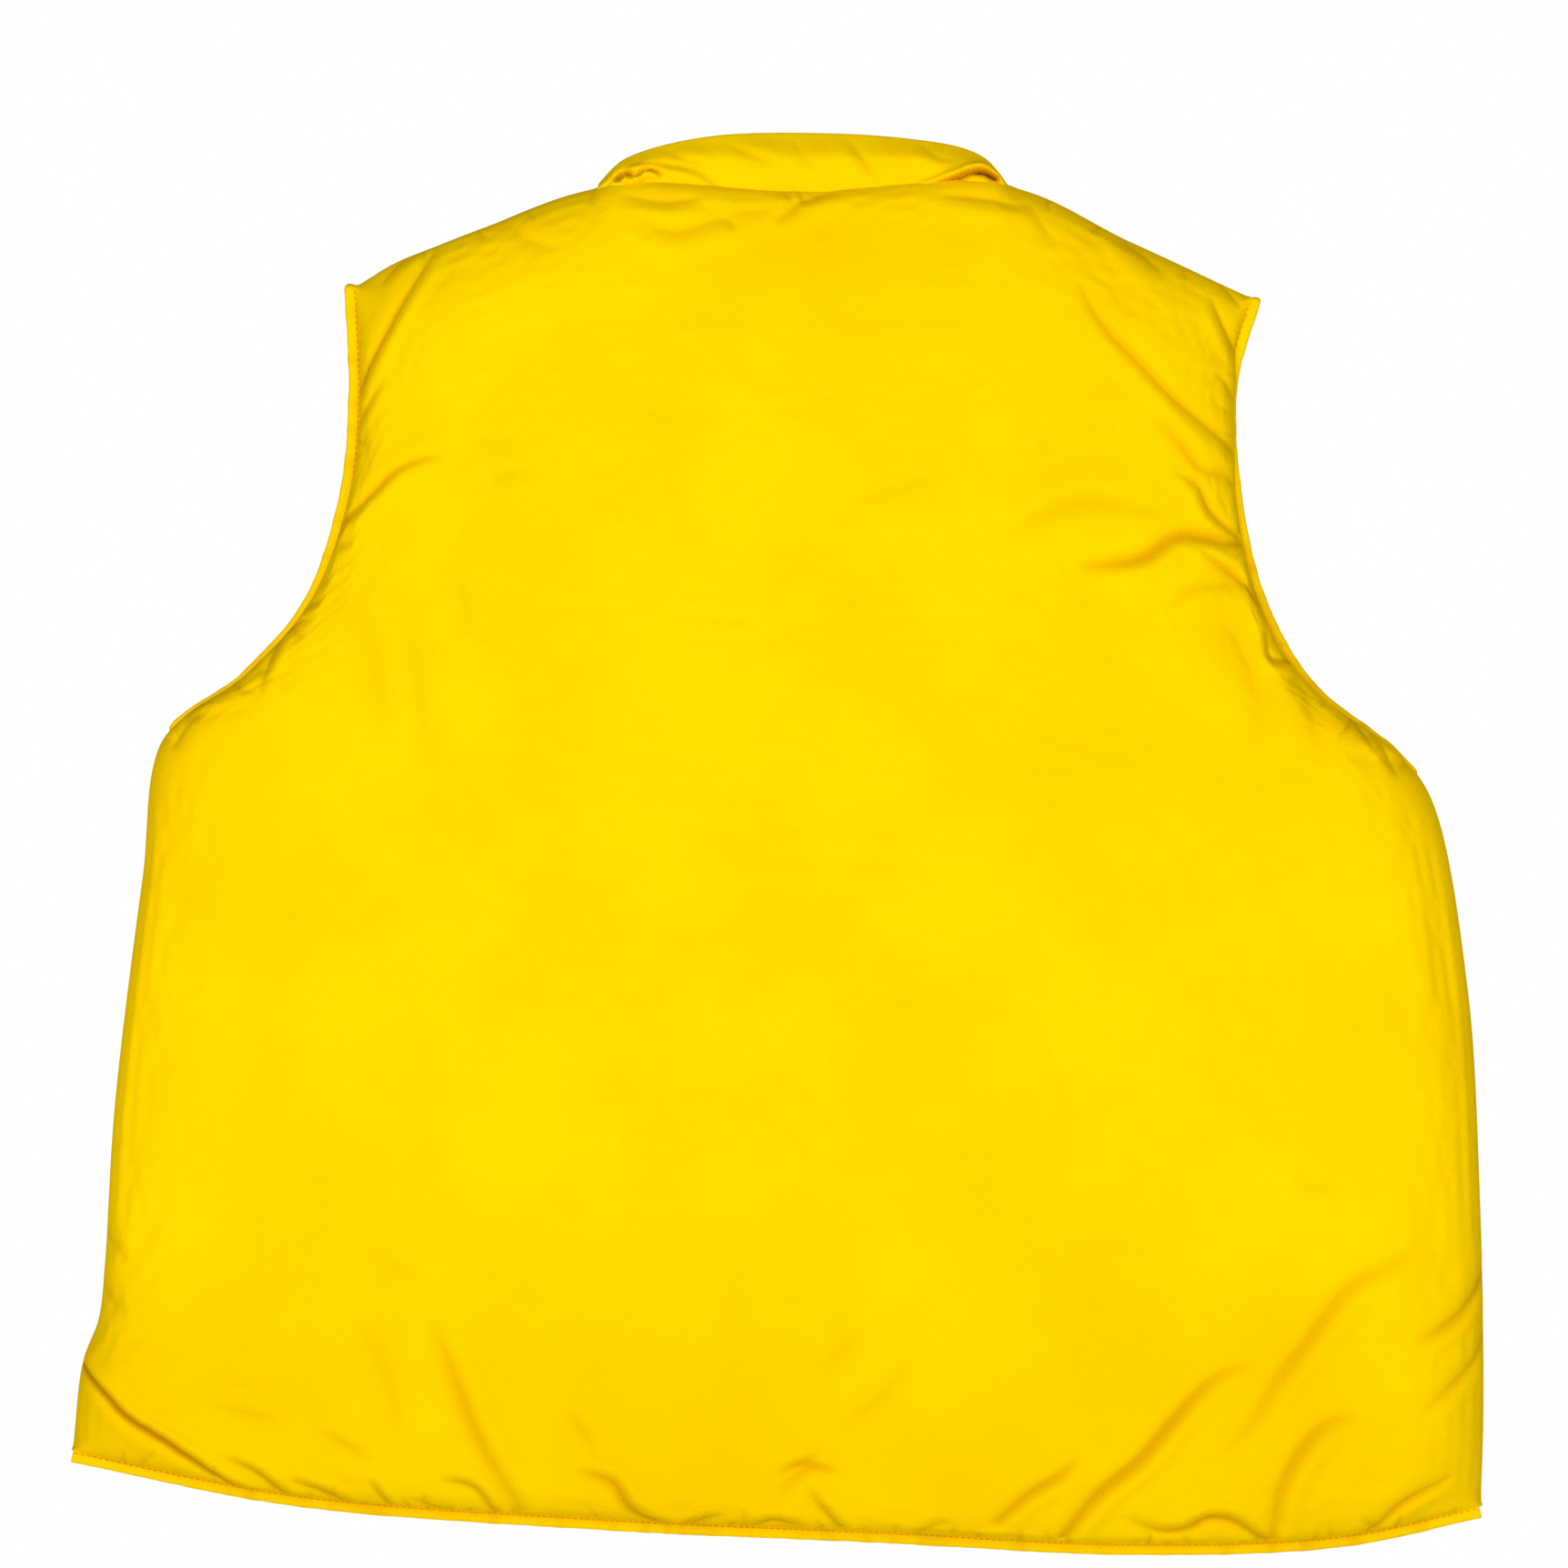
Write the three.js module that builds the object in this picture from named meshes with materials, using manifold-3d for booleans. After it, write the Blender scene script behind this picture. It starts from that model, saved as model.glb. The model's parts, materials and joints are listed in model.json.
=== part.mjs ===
// Inflatable life jacket cut as a puffy sleeveless vest, closed down the front by a zip.
// Millimetres, +Z up, +Y towards the wearer's front, +X towards the wearer's right hand.
// The origin is the middle of the hang loop's inner face, at the back of the neck. The vest
// keeps the flattened shape of an empty garment, so its back and front lie close together.

import * as THREE from 'three';
import { mergeVertices } from 'three/addons/utils/BufferGeometryUtils.js';
import Module from 'manifold-3d';

const wasm = await Module();
wasm.setup();

// ---------------------------------------------------------------- driving dimensions

// Outlines as [x, z] points of smooth curves, seen from behind.
const SHOULDER_LINE = [[-232, -45], [-170, -20], [-105, 3], [0, 0], [105, 3], [168, -24], [230, -52]];
const LEFT_EDGE = [[-232, -45], [-230, -100], [-234, -148], [-252, -203], [-283, -240],
  [-327, -272], [-336, -345], [-349, -460], [-355, -550], [-371, -638]];
const RIGHT_EDGE = [[230, -52], [218, -95], [219, -142], [231, -200], [256, -245],
  [300, -281], [317, -305], [335, -400], [341, -500], [343, -600], [342, -666]];
const HEM_LINE = [[-371, -638], [-260, -660], [-110, -672], [40, -679], [165, -685],
  [270, -681], [342, -666]];
const LEFT_ARMPIT_Z = -272;
const RIGHT_ARMPIT_Z = -295;

// Layers of a panel, as distances from the garment's middle plane.
const LINING_INSIDE = 8;
const LINING_OUTSIDE = 8.8;
const CELL_BASE = 9.3;
const SHELL_EDGE = 12.2;
const SHELL_THICKNESS = 0.9;
const LAYER_GAP = 0.4;
const TOUCH_GAP = 0.3;

// How far the air cells stand out, and how far from an edge they reach full height.
const BACK_CROWN = 31;
const FRONT_CROWN = 26;
const COLLAR_CROWN = 9;
const EDGE_ROUNDING = 105;
const SEAM_ROUNDING = 68;

const BAND_WIDTH = 6.5;
const BAND_THICKNESS = 3.5;
const BAND_GAP = 1.2;
const GUSSET_WIDTH = 2.5;

// The two fronts open about these slanting seams, given by their ends as [x, z].
const LEFT_SEAM = [[-124, -5], [-322, -648]];
const RIGHT_SEAM = [[124, -5], [300, -677]];
const SEAM_HALF_GAP = 0.6;
const CENTRE_EDGE = 10;
const FRONT_NECK_DEPTH = 90;

// Collar
const COLLAR_TOP = 31;
const COLLAR_FRONT_TOP = -28;
const COLLAR_FRONT_REACH = 106;
const COLLAR_BACK_RISE = 3;
const COLLAR_FRONT_RISE = 3;

// Zip
const ZIP_TOP = -28;
const ZIP_BOTTOM = -668;
const TEETH_TOP = -46.5;
const TEETH_BOTTOM = -655.5;
const ZIP_MIDDLE_Y = 10.4;
const TEETH_THICKNESS = 2.4;
const TAPE_THICKNESS = 0.8;
const TEETH_REACH = 2.6;
const TEETH_HALF_GAP = 0.5;
const TAPE_REACH = 15;
const SLIDER = { width: 9.6, height: 14, top: -31, plate: 1.1, web: 0.5 };
const PULL = { width: 7, length: 33, thickness: 1.4, window: 10, bar: 1.5 };

// Gas inflator on the wearer's left front, at [x, z]
const INFLATOR_AT = [-130, -425];
const CYLINDER = { radius: 12.5, length: 104, neck: 6.5 };
const HEAD = { width: 27, height: 36, depth: 20, tongueWidth: 17, tongueHeight: 18, tongueDepth: 8 };
const LEVER = { length: 30, width: 9, thickness: 5 };
const STRAP = { width: 12, length: 52, thickness: 1.6 };
const HANDLE = { width: 24, length: 46, thickness: 6 };

// Oral inflation tube on the wearer's right front
const ORAL_AT = [124, -405];
const TUBE_RADIUS = 6;
const VALVE = { radius: 8, length: 28, bore: 5.2, plunger: 3.4, travel: 3.5 };

// ---------------------------------------------------------------- materials

const NYLON = { color: 0xf7cf05, roughness: 0.55 };
const finish = (color, roughness, metalness = 0) =>
  new THREE.MeshStandardMaterial({ color, roughness, metalness });
const looks = {
  shell: () => finish(NYLON.color, NYLON.roughness),
  binding: () => finish(0xeec400, 0.6),
  lining: () => finish(0xd8a414, 0.7),
  bladder: () => finish(0xd96a1c, 0.45),
  foam: () => finish(0xe9e4cf, 0.9),
  tape: () => finish(0xe6b800, 0.8),
  tooth: () => finish(0xe8bd10, 0.4),
  metal: () => finish(0xb9bcc0, 0.3, 1),
  blackPlastic: () => finish(0x1c1d1f, 0.45),
  redPlastic: () => finish(0xc8281e, 0.4),
  steel: () => finish(0x9da3a8, 0.35, 1),
  rubber: () => finish(0x2a2b2d, 0.7),
};

const vest = new THREE.Group();

function add(name, geometry, material, place = [0, 0, 0], turn = [0, 0, 0]) {
  const mesh = new THREE.Mesh(geometry, material);
  mesh.name = name;
  mesh.position.set(...place);
  mesh.rotation.set(...turn);
  vest.add(mesh);
  return mesh;
}

// ---------------------------------------------------------------- solids from code

// A closed solid from points and triangles, turned so that its faces point out.
function closedSolid(points, triangles) {
  const corner = (i) => new THREE.Vector3(...points[i]);
  let volume = 0;
  for (const [a, b, c] of triangles) {
    volume += corner(a).dot(corner(b).cross(corner(c)));
  }
  const index = triangles.flatMap(([a, b, c]) => (volume < 0 ? [a, c, b] : [a, b, c]));
  const geometry = new THREE.BufferGeometry();
  geometry.setAttribute('position', new THREE.Float32BufferAttribute(points.flat(), 3));
  geometry.setIndex(index);
  return geometry;
}

function toManifold(geometry) {
  const bare = geometry.clone();
  bare.deleteAttribute('normal');
  bare.deleteAttribute('uv');
  const merged = mergeVertices(bare, 1e-4);
  return new wasm.Manifold(new wasm.Mesh({
    numProp: 3,
    vertProperties: new Float32Array(merged.attributes.position.array),
    triVerts: new Uint32Array(merged.index.array),
  }));
}

function fromManifold(solid) {
  const { vertProperties, triVerts } = solid.getMesh();
  const geometry = new THREE.BufferGeometry();
  geometry.setAttribute('position', new THREE.Float32BufferAttribute(vertProperties, 3));
  geometry.setIndex(Array.from(triVerts));
  return geometry;
}

const cut = (geometry, tool) => fromManifold(toManifold(geometry).subtract(toManifold(tool)));
const join = (first, second) => fromManifold(toManifold(first).add(toManifold(second)));

// A sheet between two surfaces y = outer(x, z) and y = inner(x, z) over a grid of places.
function sheetSolid(grid, outer, inner) {
  const rows = grid.length;
  const columns = grid[0].length;
  const points = [];
  const at = (layer, i, j) => (layer * rows + i) * columns + j;
  for (const surface of [outer, inner]) {
    for (const row of grid) {
      for (const spot of row) points.push([spot.x, surface(spot), spot.z]);
    }
  }
  const triangles = [];
  const quad = (a, b, c, d) => triangles.push([a, b, c], [a, c, d]);
  for (let i = 0; i < rows - 1; i++) {
    for (let j = 0; j < columns - 1; j++) {
      quad(at(0, i, j), at(0, i, j + 1), at(0, i + 1, j + 1), at(0, i + 1, j));
      quad(at(1, i, j), at(1, i + 1, j), at(1, i + 1, j + 1), at(1, i, j + 1));
    }
  }
  for (let j = 0; j < columns - 1; j++) {
    quad(at(0, 0, j), at(1, 0, j), at(1, 0, j + 1), at(0, 0, j + 1));
    quad(at(0, rows - 1, j), at(0, rows - 1, j + 1), at(1, rows - 1, j + 1), at(1, rows - 1, j));
  }
  for (let i = 0; i < rows - 1; i++) {
    quad(at(0, i, 0), at(0, i + 1, 0), at(1, i + 1, 0), at(1, i, 0));
    quad(at(0, i, columns - 1), at(1, i, columns - 1), at(1, i + 1, columns - 1),
      at(0, i + 1, columns - 1));
  }
  return closedSolid(points, triangles);
}

// ---------------------------------------------------------------- outlines

const mix = (a, b, t) => a + (b - a) * t;

// A smooth curve through [x, z] points, walked by its length from t = 0 to t = 1.
function smooth(points) {
  const curve = new THREE.CatmullRomCurve3(points.map(([x, z]) => new THREE.Vector3(x, 0, z)));
  return (t) => curve.getPointAt(Math.min(Math.max(t, 0), 1));
}

const straight = ([[x0, z0], [x1, z1]]) => (t) => new THREE.Vector3(mix(x0, x1, t), 0, mix(z0, z1, t));

// The stretch of a curve from t = from to t = to.
const stretch = (curve, from, to) => (t) => curve(mix(from, to, t));

// Where a curve passes a given value of x or z, by halving.
function whereIs(curve, axis, value) {
  let [low, high] = [0, 1];
  const rising = curve(1)[axis] > curve(0)[axis];
  for (let step = 0; step < 30; step++) {
    const middle = (low + high) / 2;
    if (curve(middle)[axis] < value === rising) low = middle;
    else high = middle;
  }
  return low;
}

const shoulderLine = smooth(SHOULDER_LINE);
const hemLine = smooth(HEM_LINE);
const sides = {
  left: {
    sign: -1,
    edge: smooth(LEFT_EDGE),
    armpitZ: LEFT_ARMPIT_Z,
    seam: straight(LEFT_SEAM),
    seamTop: whereIs(shoulderLine, 'x', LEFT_SEAM[0][0]),
    seamBottom: whereIs(hemLine, 'x', LEFT_SEAM[1][0]),
  },
  right: {
    sign: 1,
    edge: smooth(RIGHT_EDGE),
    armpitZ: RIGHT_ARMPIT_Z,
    seam: straight(RIGHT_SEAM),
    seamTop: whereIs(shoulderLine, 'x', RIGHT_SEAM[0][0]),
    seamBottom: whereIs(hemLine, 'x', RIGHT_SEAM[1][0]),
  },
};
for (const side of Object.values(sides)) side.armpit = whereIs(side.edge, 'z', side.armpitZ);

// The surface patch between four edge curves (a Coons patch).
function patch({ top, bottom, left, right }) {
  return (u, v) => {
    const across = [left(v).x * (1 - u) + right(v).x * u, left(v).z * (1 - u) + right(v).z * u];
    const down = [top(u).x * (1 - v) + bottom(u).x * v, top(u).z * (1 - v) + bottom(u).z * v];
    const corners = ['x', 'z'].map((k) => (1 - v) * mix(top(0)[k], top(1)[k], u)
      + v * mix(bottom(0)[k], bottom(1)[k], u));
    return { x: across[0] + down[0] - corners[0], z: across[1] + down[1] - corners[1] };
  };
}

// Places that crowd towards both ends, so that the rounded edges get the finer steps.
const crowded = (steps, share = 1) => Array.from({ length: steps + 1 },
  (_, i) => mix(i / steps, (1 - Math.cos(Math.PI * i / steps)) / 2, share));
const ROW_CROWDING = 0.6;

// A grid of places over a patch, each with its distance to each edge.
function gridOver(edges, columns, rows) {
  const place = patch(edges);
  return crowded(rows, ROW_CROWDING).map((row) => {
    const [from, to] = [edges.left(row), edges.right(row)];
    const width = Math.hypot(to.x - from.x, to.z - from.z);
    return crowded(columns).map((column) => {
      const height = Math.abs(edges.bottom(column).z - edges.top(column).z);
      const spot = place(column, row);
      spot.fromLeft = column * width;
      spot.fromRight = (1 - column) * width;
      spot.fromTop = row * height;
      spot.fromBottom = (1 - row) * height;
      return spot;
    });
  });
}

// Full roundness at a free edge, and a gentle slope at a seam that has to fold open.
const roundEdge = (distance, reach) => {
  const t = Math.min(distance / reach, 1);
  return Math.sqrt(1 - (1 - t) ** 2);
};
const seamEdge = (distance, reach) => Math.sin(Math.PI / 2 * Math.min(distance / reach, 1));

// One padded panel: the outer shell, the air cell or pad inside it and the lining behind it.
function paddedPanel(names, grid, facing, crown, edges, filling) {
  const height = (spot) => SHELL_EDGE + crown
    * edges.left(spot.fromLeft) * edges.right(spot.fromRight)
    * edges.top(spot.fromTop) * edges.bottom(spot.fromBottom);
  const trim = names.trim ?? 1;
  const inner = grid.slice(1, -1).map((row) => row.slice(trim, -trim));
  const shell = sheetSolid(grid, (s) => facing * height(s),
    (s) => facing * (height(s) - SHELL_THICKNESS));
  const cell = sheetSolid(inner, (s) => facing * (height(s) - SHELL_THICKNESS - LAYER_GAP),
    () => facing * CELL_BASE);
  return {
    shell: add(names.shell, shell, looks.shell()),
    filling: add(names.filling, cell, filling()),
    lining: add(names.lining, flatSheet(edgeOfGrid(grid), facing), looks.lining()),
  };
}

// The rim of a grid as a closed loop of places.
function edgeOfGrid(grid) {
  const middleRows = grid.slice(1, -1);
  return [
    ...grid[0],
    ...middleRows.map((row) => row[row.length - 1]),
    ...[...grid[grid.length - 1]].reverse(),
    ...middleRows.map((row) => row[0]).reverse(),
  ];
}

function flatSheet(loop, facing) {
  const outline = new THREE.Shape(loop.map(({ x, z }) => new THREE.Vector2(x, z)));
  const sheet = new THREE.ExtrudeGeometry(outline,
    { depth: LINING_OUTSIDE - LINING_INSIDE, bevelEnabled: false });
  // The outline is drawn in x and y and pulled along z: turn it up so that y becomes z.
  sheet.rotateX(Math.PI / 2);
  sheet.translate(0, facing > 0 ? LINING_OUTSIDE : -LINING_INSIDE, 0);
  return sheet;
}

// The direction square to an edge at t that points to the middle of the garment.
const garmentMiddle = new THREE.Vector3(0, 0, -330);
function inwardAt(edge, t) {
  const here = edge(t);
  const along = edge(Math.min(t + 0.01, 1)).sub(edge(Math.max(t - 0.01, 0))).normalize();
  const inward = new THREE.Vector3(-along.z, 0, along.x);
  return inward.dot(garmentMiddle.clone().sub(here)) < 0 ? inward.negate() : inward;
}

// A flat ribbon along the inside of an edge: width inwards, and from near to far in y.
function ribbon(edge, width, near, far, stops) {
  const places = Array.isArray(stops) ? stops
    : Array.from({ length: stops + 1 }, (_, i) => i / stops);
  const steps = places.length - 1;
  const points = [];
  for (const t of places) {
    const here = edge(t);
    const inside = here.clone().addScaledVector(inwardAt(edge, t), width);
    points.push([here.x, near, here.z], [inside.x, near, inside.z],
      [inside.x, far, inside.z], [here.x, far, here.z]);
  }
  const triangles = [[0, 1, 2], [0, 2, 3]];
  for (let i = 0; i < steps; i++) {
    for (let k = 0; k < 4; k++) {
      const [a, b] = [i * 4 + k, i * 4 + (k + 1) % 4];
      triangles.push([a, a + 4, b + 4], [a, b + 4, b]);
    }
  }
  const end = steps * 4;
  triangles.push([end, end + 2, end + 1], [end, end + 3, end + 2]);
  return closedSolid(points, triangles);
}

// ---------------------------------------------------------------- back panel

// Panels keep clear of the armhole's binding and of the hem band, and reach the outline
// between the armpit and the hem.
const CLEAR = BAND_WIDTH + BAND_GAP;
const ARMPIT_BLEND = [0.07, 0.08];
const raised = (curve, rise) => (t) => curve(t).add(new THREE.Vector3(0, 0, rise));
const shifted = (curve, shift) => (t) => curve(t).add(new THREE.Vector3(shift, 0, 0));
const aboveHem = (curve) => stretch(curve, 0, 1 - CLEAR / Math.abs(curve(1).z - curve(0).z));
const panelSide = (side) => aboveHem((t) => {
  const pastArmpit = THREE.MathUtils.smoothstep(t - side.armpit, ...ARMPIT_BLEND);
  return side.edge(t).addScaledVector(inwardAt(side.edge, t), CLEAR * (1 - pastArmpit));
});
const outer = (distance) => roundEdge(distance, EDGE_ROUNDING);
const seam = (distance) => seamEdge(distance, SEAM_ROUNDING);

const PANEL_ROWS = 16;
const BACK_COLUMNS = 12;
const FRONT_COLUMNS = 8;
const backGrid = gridOver({ top: shoulderLine, bottom: raised(hemLine, CLEAR),
  left: panelSide(sides.left), right: panelSide(sides.right) }, BACK_COLUMNS, PANEL_ROWS);
paddedPanel({ shell: 'back_shell', filling: 'back_air_cell', lining: 'back_lining' },
  backGrid, -1, BACK_CROWN, { left: outer, right: outer, top: outer, bottom: outer },
  looks.bladder);

// ---------------------------------------------------------------- front panels

// The front neckline falls from the shoulder to the top of the zip.
const neckline = (side) => smooth([
  [LEFT_SEAM[0][0] * -side.sign, LEFT_SEAM[0][1]],
  [side.sign * 104, -12],
  [side.sign * 66, -62],
  [side.sign * CENTRE_EDGE, -FRONT_NECK_DEPTH],
]);

for (const [word, side] of Object.entries(sides)) {
  const fromSeam = word === 'left' ? 'left' : 'right';
  const fromCentre = word === 'left' ? 'right' : 'left';
  const hemPart = word === 'left'
    ? stretch(hemLine, side.seamBottom, whereIs(hemLine, 'x', -CENTRE_EDGE))
    : stretch(hemLine, whereIs(hemLine, 'x', CENTRE_EDGE), side.seamBottom);
  const zipEdge = straight([[side.sign * CENTRE_EDGE, -FRONT_NECK_DEPTH],
    [side.sign * CENTRE_EDGE, hemLine(whereIs(hemLine, 'x', side.sign * CENTRE_EDGE)).z]]);
  const neck = neckline(side);
  const topEdge = word === 'left' ? neck : (t) => neck(1 - t);

  const frontGrid = gridOver({ top: topEdge, bottom: raised(hemPart, CLEAR),
    [fromSeam]: aboveHem(shifted(side.seam, -side.sign * SEAM_HALF_GAP)),
    [fromCentre]: aboveHem(zipEdge) }, FRONT_COLUMNS, PANEL_ROWS);
  paddedPanel({ shell: `front_${word}_shell`, filling: `front_${word}_air_cell`,
    lining: `front_${word}_lining` }, frontGrid, 1, FRONT_CROWN,
  { left: seam, right: seam, top: seam, bottom: outer }, looks.bladder);

  // The strip between the opening seam and the armhole stays with the back.
  const shoulderPart = word === 'left'
    ? stretch(shoulderLine, 0, side.seamTop) : stretch(shoulderLine, side.seamTop, 1);
  const hemRest = word === 'left'
    ? stretch(hemLine, 0, side.seamBottom) : stretch(hemLine, side.seamBottom, 1);
  const sideGrid = gridOver({ top: shoulderPart, bottom: raised(hemRest, CLEAR),
    [fromSeam]: panelSide(side),
    [fromCentre]: aboveHem(shifted(side.seam, side.sign * SEAM_HALF_GAP)) }, 5, PANEL_ROWS);
  const nearSeam = (distance) => seamEdge(distance, SEAM_ROUNDING / 1.6);
  const nearEdge = (distance) => roundEdge(distance, EDGE_ROUNDING / 2.4);
  paddedPanel({ shell: `side_${word}_shell`, filling: `side_${word}_air_cell`,
    lining: `side_${word}_lining` }, sideGrid, 1, FRONT_CROWN * 0.72,
  { [fromSeam]: nearEdge, [fromCentre]: nearSeam, top: outer, bottom: outer }, looks.bladder);

  // Armhole bindings, side gusset and shoulder yoke.
  const far = LINING_INSIDE + BAND_THICKNESS;
  const reach = 1 - CLEAR / Math.abs(side.edge(1).z - side.edge(0).z);
  const stops = crowded(PANEL_ROWS, ROW_CROWDING).map((row) => row * reach)
    .filter((t) => t <= side.armpit + ARMPIT_BLEND[0]);
  add(`armhole_binding_back_${word}`, ribbon(side.edge, BAND_WIDTH, -LINING_INSIDE, -far, stops),
    looks.binding());
  add(`armhole_binding_front_${word}`, ribbon(side.edge, BAND_WIDTH, LINING_INSIDE, far, stops),
    looks.binding());
  const gussetDepth = LINING_INSIDE - TOUCH_GAP;
  add(`side_gusset_${word}`, ribbon(stretch(side.edge, side.armpit + 0.02, 0.985), GUSSET_WIDTH,
    -gussetDepth, gussetDepth, 12), looks.shell());
  const yokeEdge = word === 'left'
    ? stretch(shoulderLine, 0.01, side.seamTop) : stretch(shoulderLine, side.seamTop, 0.99);
  add(`shoulder_yoke_${word}`, ribbon(yokeEdge, GUSSET_WIDTH, -gussetDepth, gussetDepth, 8),
    looks.shell());

  // Hem bands on the moving front and on the fixed strip beside it.
  add(`hem_band_front_${word}`, ribbon(hemPart, BAND_WIDTH, LINING_INSIDE, far,
    crowded(FRONT_COLUMNS)),
    looks.binding());
  const clearOfSeam = word === 'left' ? stretch(hemRest, 0, 0.97) : stretch(hemRest, 0.03, 1);
  add(`hem_band_side_${word}`, ribbon(clearOfSeam, BAND_WIDTH, LINING_INSIDE, far, 3),
    looks.binding());
}
add('hem_band_back', ribbon(hemLine, BAND_WIDTH, -LINING_INSIDE, -LINING_INSIDE - BAND_THICKNESS,
  crowded(BACK_COLUMNS)), looks.binding());

// ---------------------------------------------------------------- air ducts over the shoulders

// A flat duct with a slot through it joins the back cell to each front cell.
const DUCT = { width: 40, height: 4, slotWidth: 34, slotHeight: 1.6, length: 18 };
const DUCT_BELOW_SHOULDER = 12;
const DUCT_AT = 172;
function ductGeometry() {
  const outline = new THREE.Shape([[-1, -1], [1, -1], [1, 1], [-1, 1]]
    .map(([a, b]) => new THREE.Vector2(a * DUCT.width / 2, b * DUCT.height / 2)));
  outline.holes.push(new THREE.Path([[-1, -1], [-1, 1], [1, 1], [1, -1]]
    .map(([a, b]) => new THREE.Vector2(a * DUCT.slotWidth / 2, b * DUCT.slotHeight / 2))));
  const duct = new THREE.ExtrudeGeometry(outline, { depth: DUCT.length, bevelEnabled: false });
  duct.translate(0, 0, -DUCT.length / 2);
  duct.rotateX(Math.PI / 2);
  return duct;
}
const meshNamed = (name) => vest.children.find((mesh) => mesh.name === name);
const cutFrom = (name, tool) => {
  const mesh = meshNamed(name);
  mesh.geometry = cut(mesh.geometry, tool);
};
for (const [word, side] of Object.entries(sides)) {
  const spot = shoulderLine(whereIs(shoulderLine, 'x', side.sign * DUCT_AT));
  const beyond = shoulderLine(whereIs(shoulderLine, 'x', side.sign * DUCT_AT + 8));
  const slope = Math.atan2(beyond.z - spot.z, beyond.x - spot.x);
  const place = [spot.x, 0, spot.z - DUCT_BELOW_SHOULDER];
  add(`air_duct_${word}`, ductGeometry(), looks.bladder(), place, [0, -slope, 0]);
  // Each lining has a slit for the duct.
  const slit = new THREE.BoxGeometry(DUCT.width + 2, 2 * LINING_OUTSIDE + 1, DUCT.height + 2)
    .rotateY(-slope).translate(...place);
  cutFrom('back_lining', slit);
  cutFrom(`side_${word}_lining`, slit);
}

// ---------------------------------------------------------------- collar

const collarEdge = (distance) => roundEdge(distance, 14);
const between = (first, last) => (t) => first.clone().lerp(last, t);
const backRim = smooth([[-92, 17], [-53, 29], [10, COLLAR_TOP], [72, 29], [97, 16]]);
const backFoot = raised(stretch(shoulderLine, whereIs(shoulderLine, 'x', -101),
  whereIs(shoulderLine, 'x', 102)), COLLAR_BACK_RISE);
const backCollarGrid = gridOver(
  { top: backRim, bottom: backFoot, left: between(backRim(0), backFoot(0)),
    right: between(backRim(1), backFoot(1)) }, 12, 6,
);
paddedPanel({ shell: 'collar_back_shell', filling: 'collar_back_pad', lining: 'collar_back_lining' },
  backCollarGrid, -1, COLLAR_CROWN,
  { left: collarEdge, right: collarEdge, top: collarEdge, bottom: collarEdge }, looks.foam);

for (const [word, side] of Object.entries(sides)) {
  const fromSeam = word === 'left' ? 'left' : 'right';
  const fromCentre = word === 'left' ? 'right' : 'left';
  const neck = neckline(side);
  const foot = raised(stretch(neck, whereIs(neck, 'x', side.sign * COLLAR_FRONT_REACH), 1),
    COLLAR_FRONT_RISE);
  const rim = smooth([[side.sign * 95, 17], [side.sign * 76, 12], [side.sign * 42, -10],
    [side.sign * CENTRE_EDGE, COLLAR_FRONT_TOP]]);
  const order = (curve) => (word === 'left' ? curve : (t) => curve(1 - t));
  const grid = gridOver(
    { top: order(rim), bottom: order(foot), [fromSeam]: between(rim(0), foot(0)),
      [fromCentre]: between(rim(1), foot(1)) }, 8, 6,
  );
  paddedPanel({ shell: `collar_${word}_shell`, filling: `collar_${word}_pad`,
    lining: `collar_${word}_lining`, trim: 2 }, grid, 1, COLLAR_CROWN,
  { left: collarEdge, right: collarEdge, top: collarEdge, bottom: collarEdge }, looks.foam);
}

// ---------------------------------------------------------------- hang loop

// A strap that bows away from the back lining, both ends sewn to it below the neck seam.
const LOOP = { half: 30, foot: 9, height: 6, thickness: 1.2 };
function hangLoop() {
  const wall = -LINING_INSIDE + TOUCH_GAP;
  const outline = new THREE.Shape();
  outline.moveTo(-LOOP.half, wall);
  outline.lineTo(-LOOP.half + LOOP.foot, wall);
  outline.quadraticCurveTo(-LOOP.half + 14, 0, -8, 0);
  outline.lineTo(8, 0);
  outline.quadraticCurveTo(LOOP.half - 14, 0, LOOP.half - LOOP.foot, wall);
  outline.lineTo(LOOP.half, wall);
  outline.lineTo(LOOP.half, wall + LOOP.thickness);
  outline.lineTo(LOOP.half - LOOP.foot + 1, wall + LOOP.thickness);
  outline.quadraticCurveTo(LOOP.half - 13, LOOP.thickness, 8, LOOP.thickness);
  outline.lineTo(-8, LOOP.thickness);
  outline.quadraticCurveTo(-LOOP.half + 13, LOOP.thickness, -LOOP.half + LOOP.foot - 1,
    wall + LOOP.thickness);
  outline.lineTo(-LOOP.half, wall + LOOP.thickness);
  const strap = new THREE.ExtrudeGeometry(outline,
    { depth: LOOP.height, bevelEnabled: false, curveSegments: 6 });
  strap.translate(0, 0, -LOOP.height / 2);
  return strap;
}
add('hang_loop', hangLoop(), looks.tape());

// ---------------------------------------------------------------- zip

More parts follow.
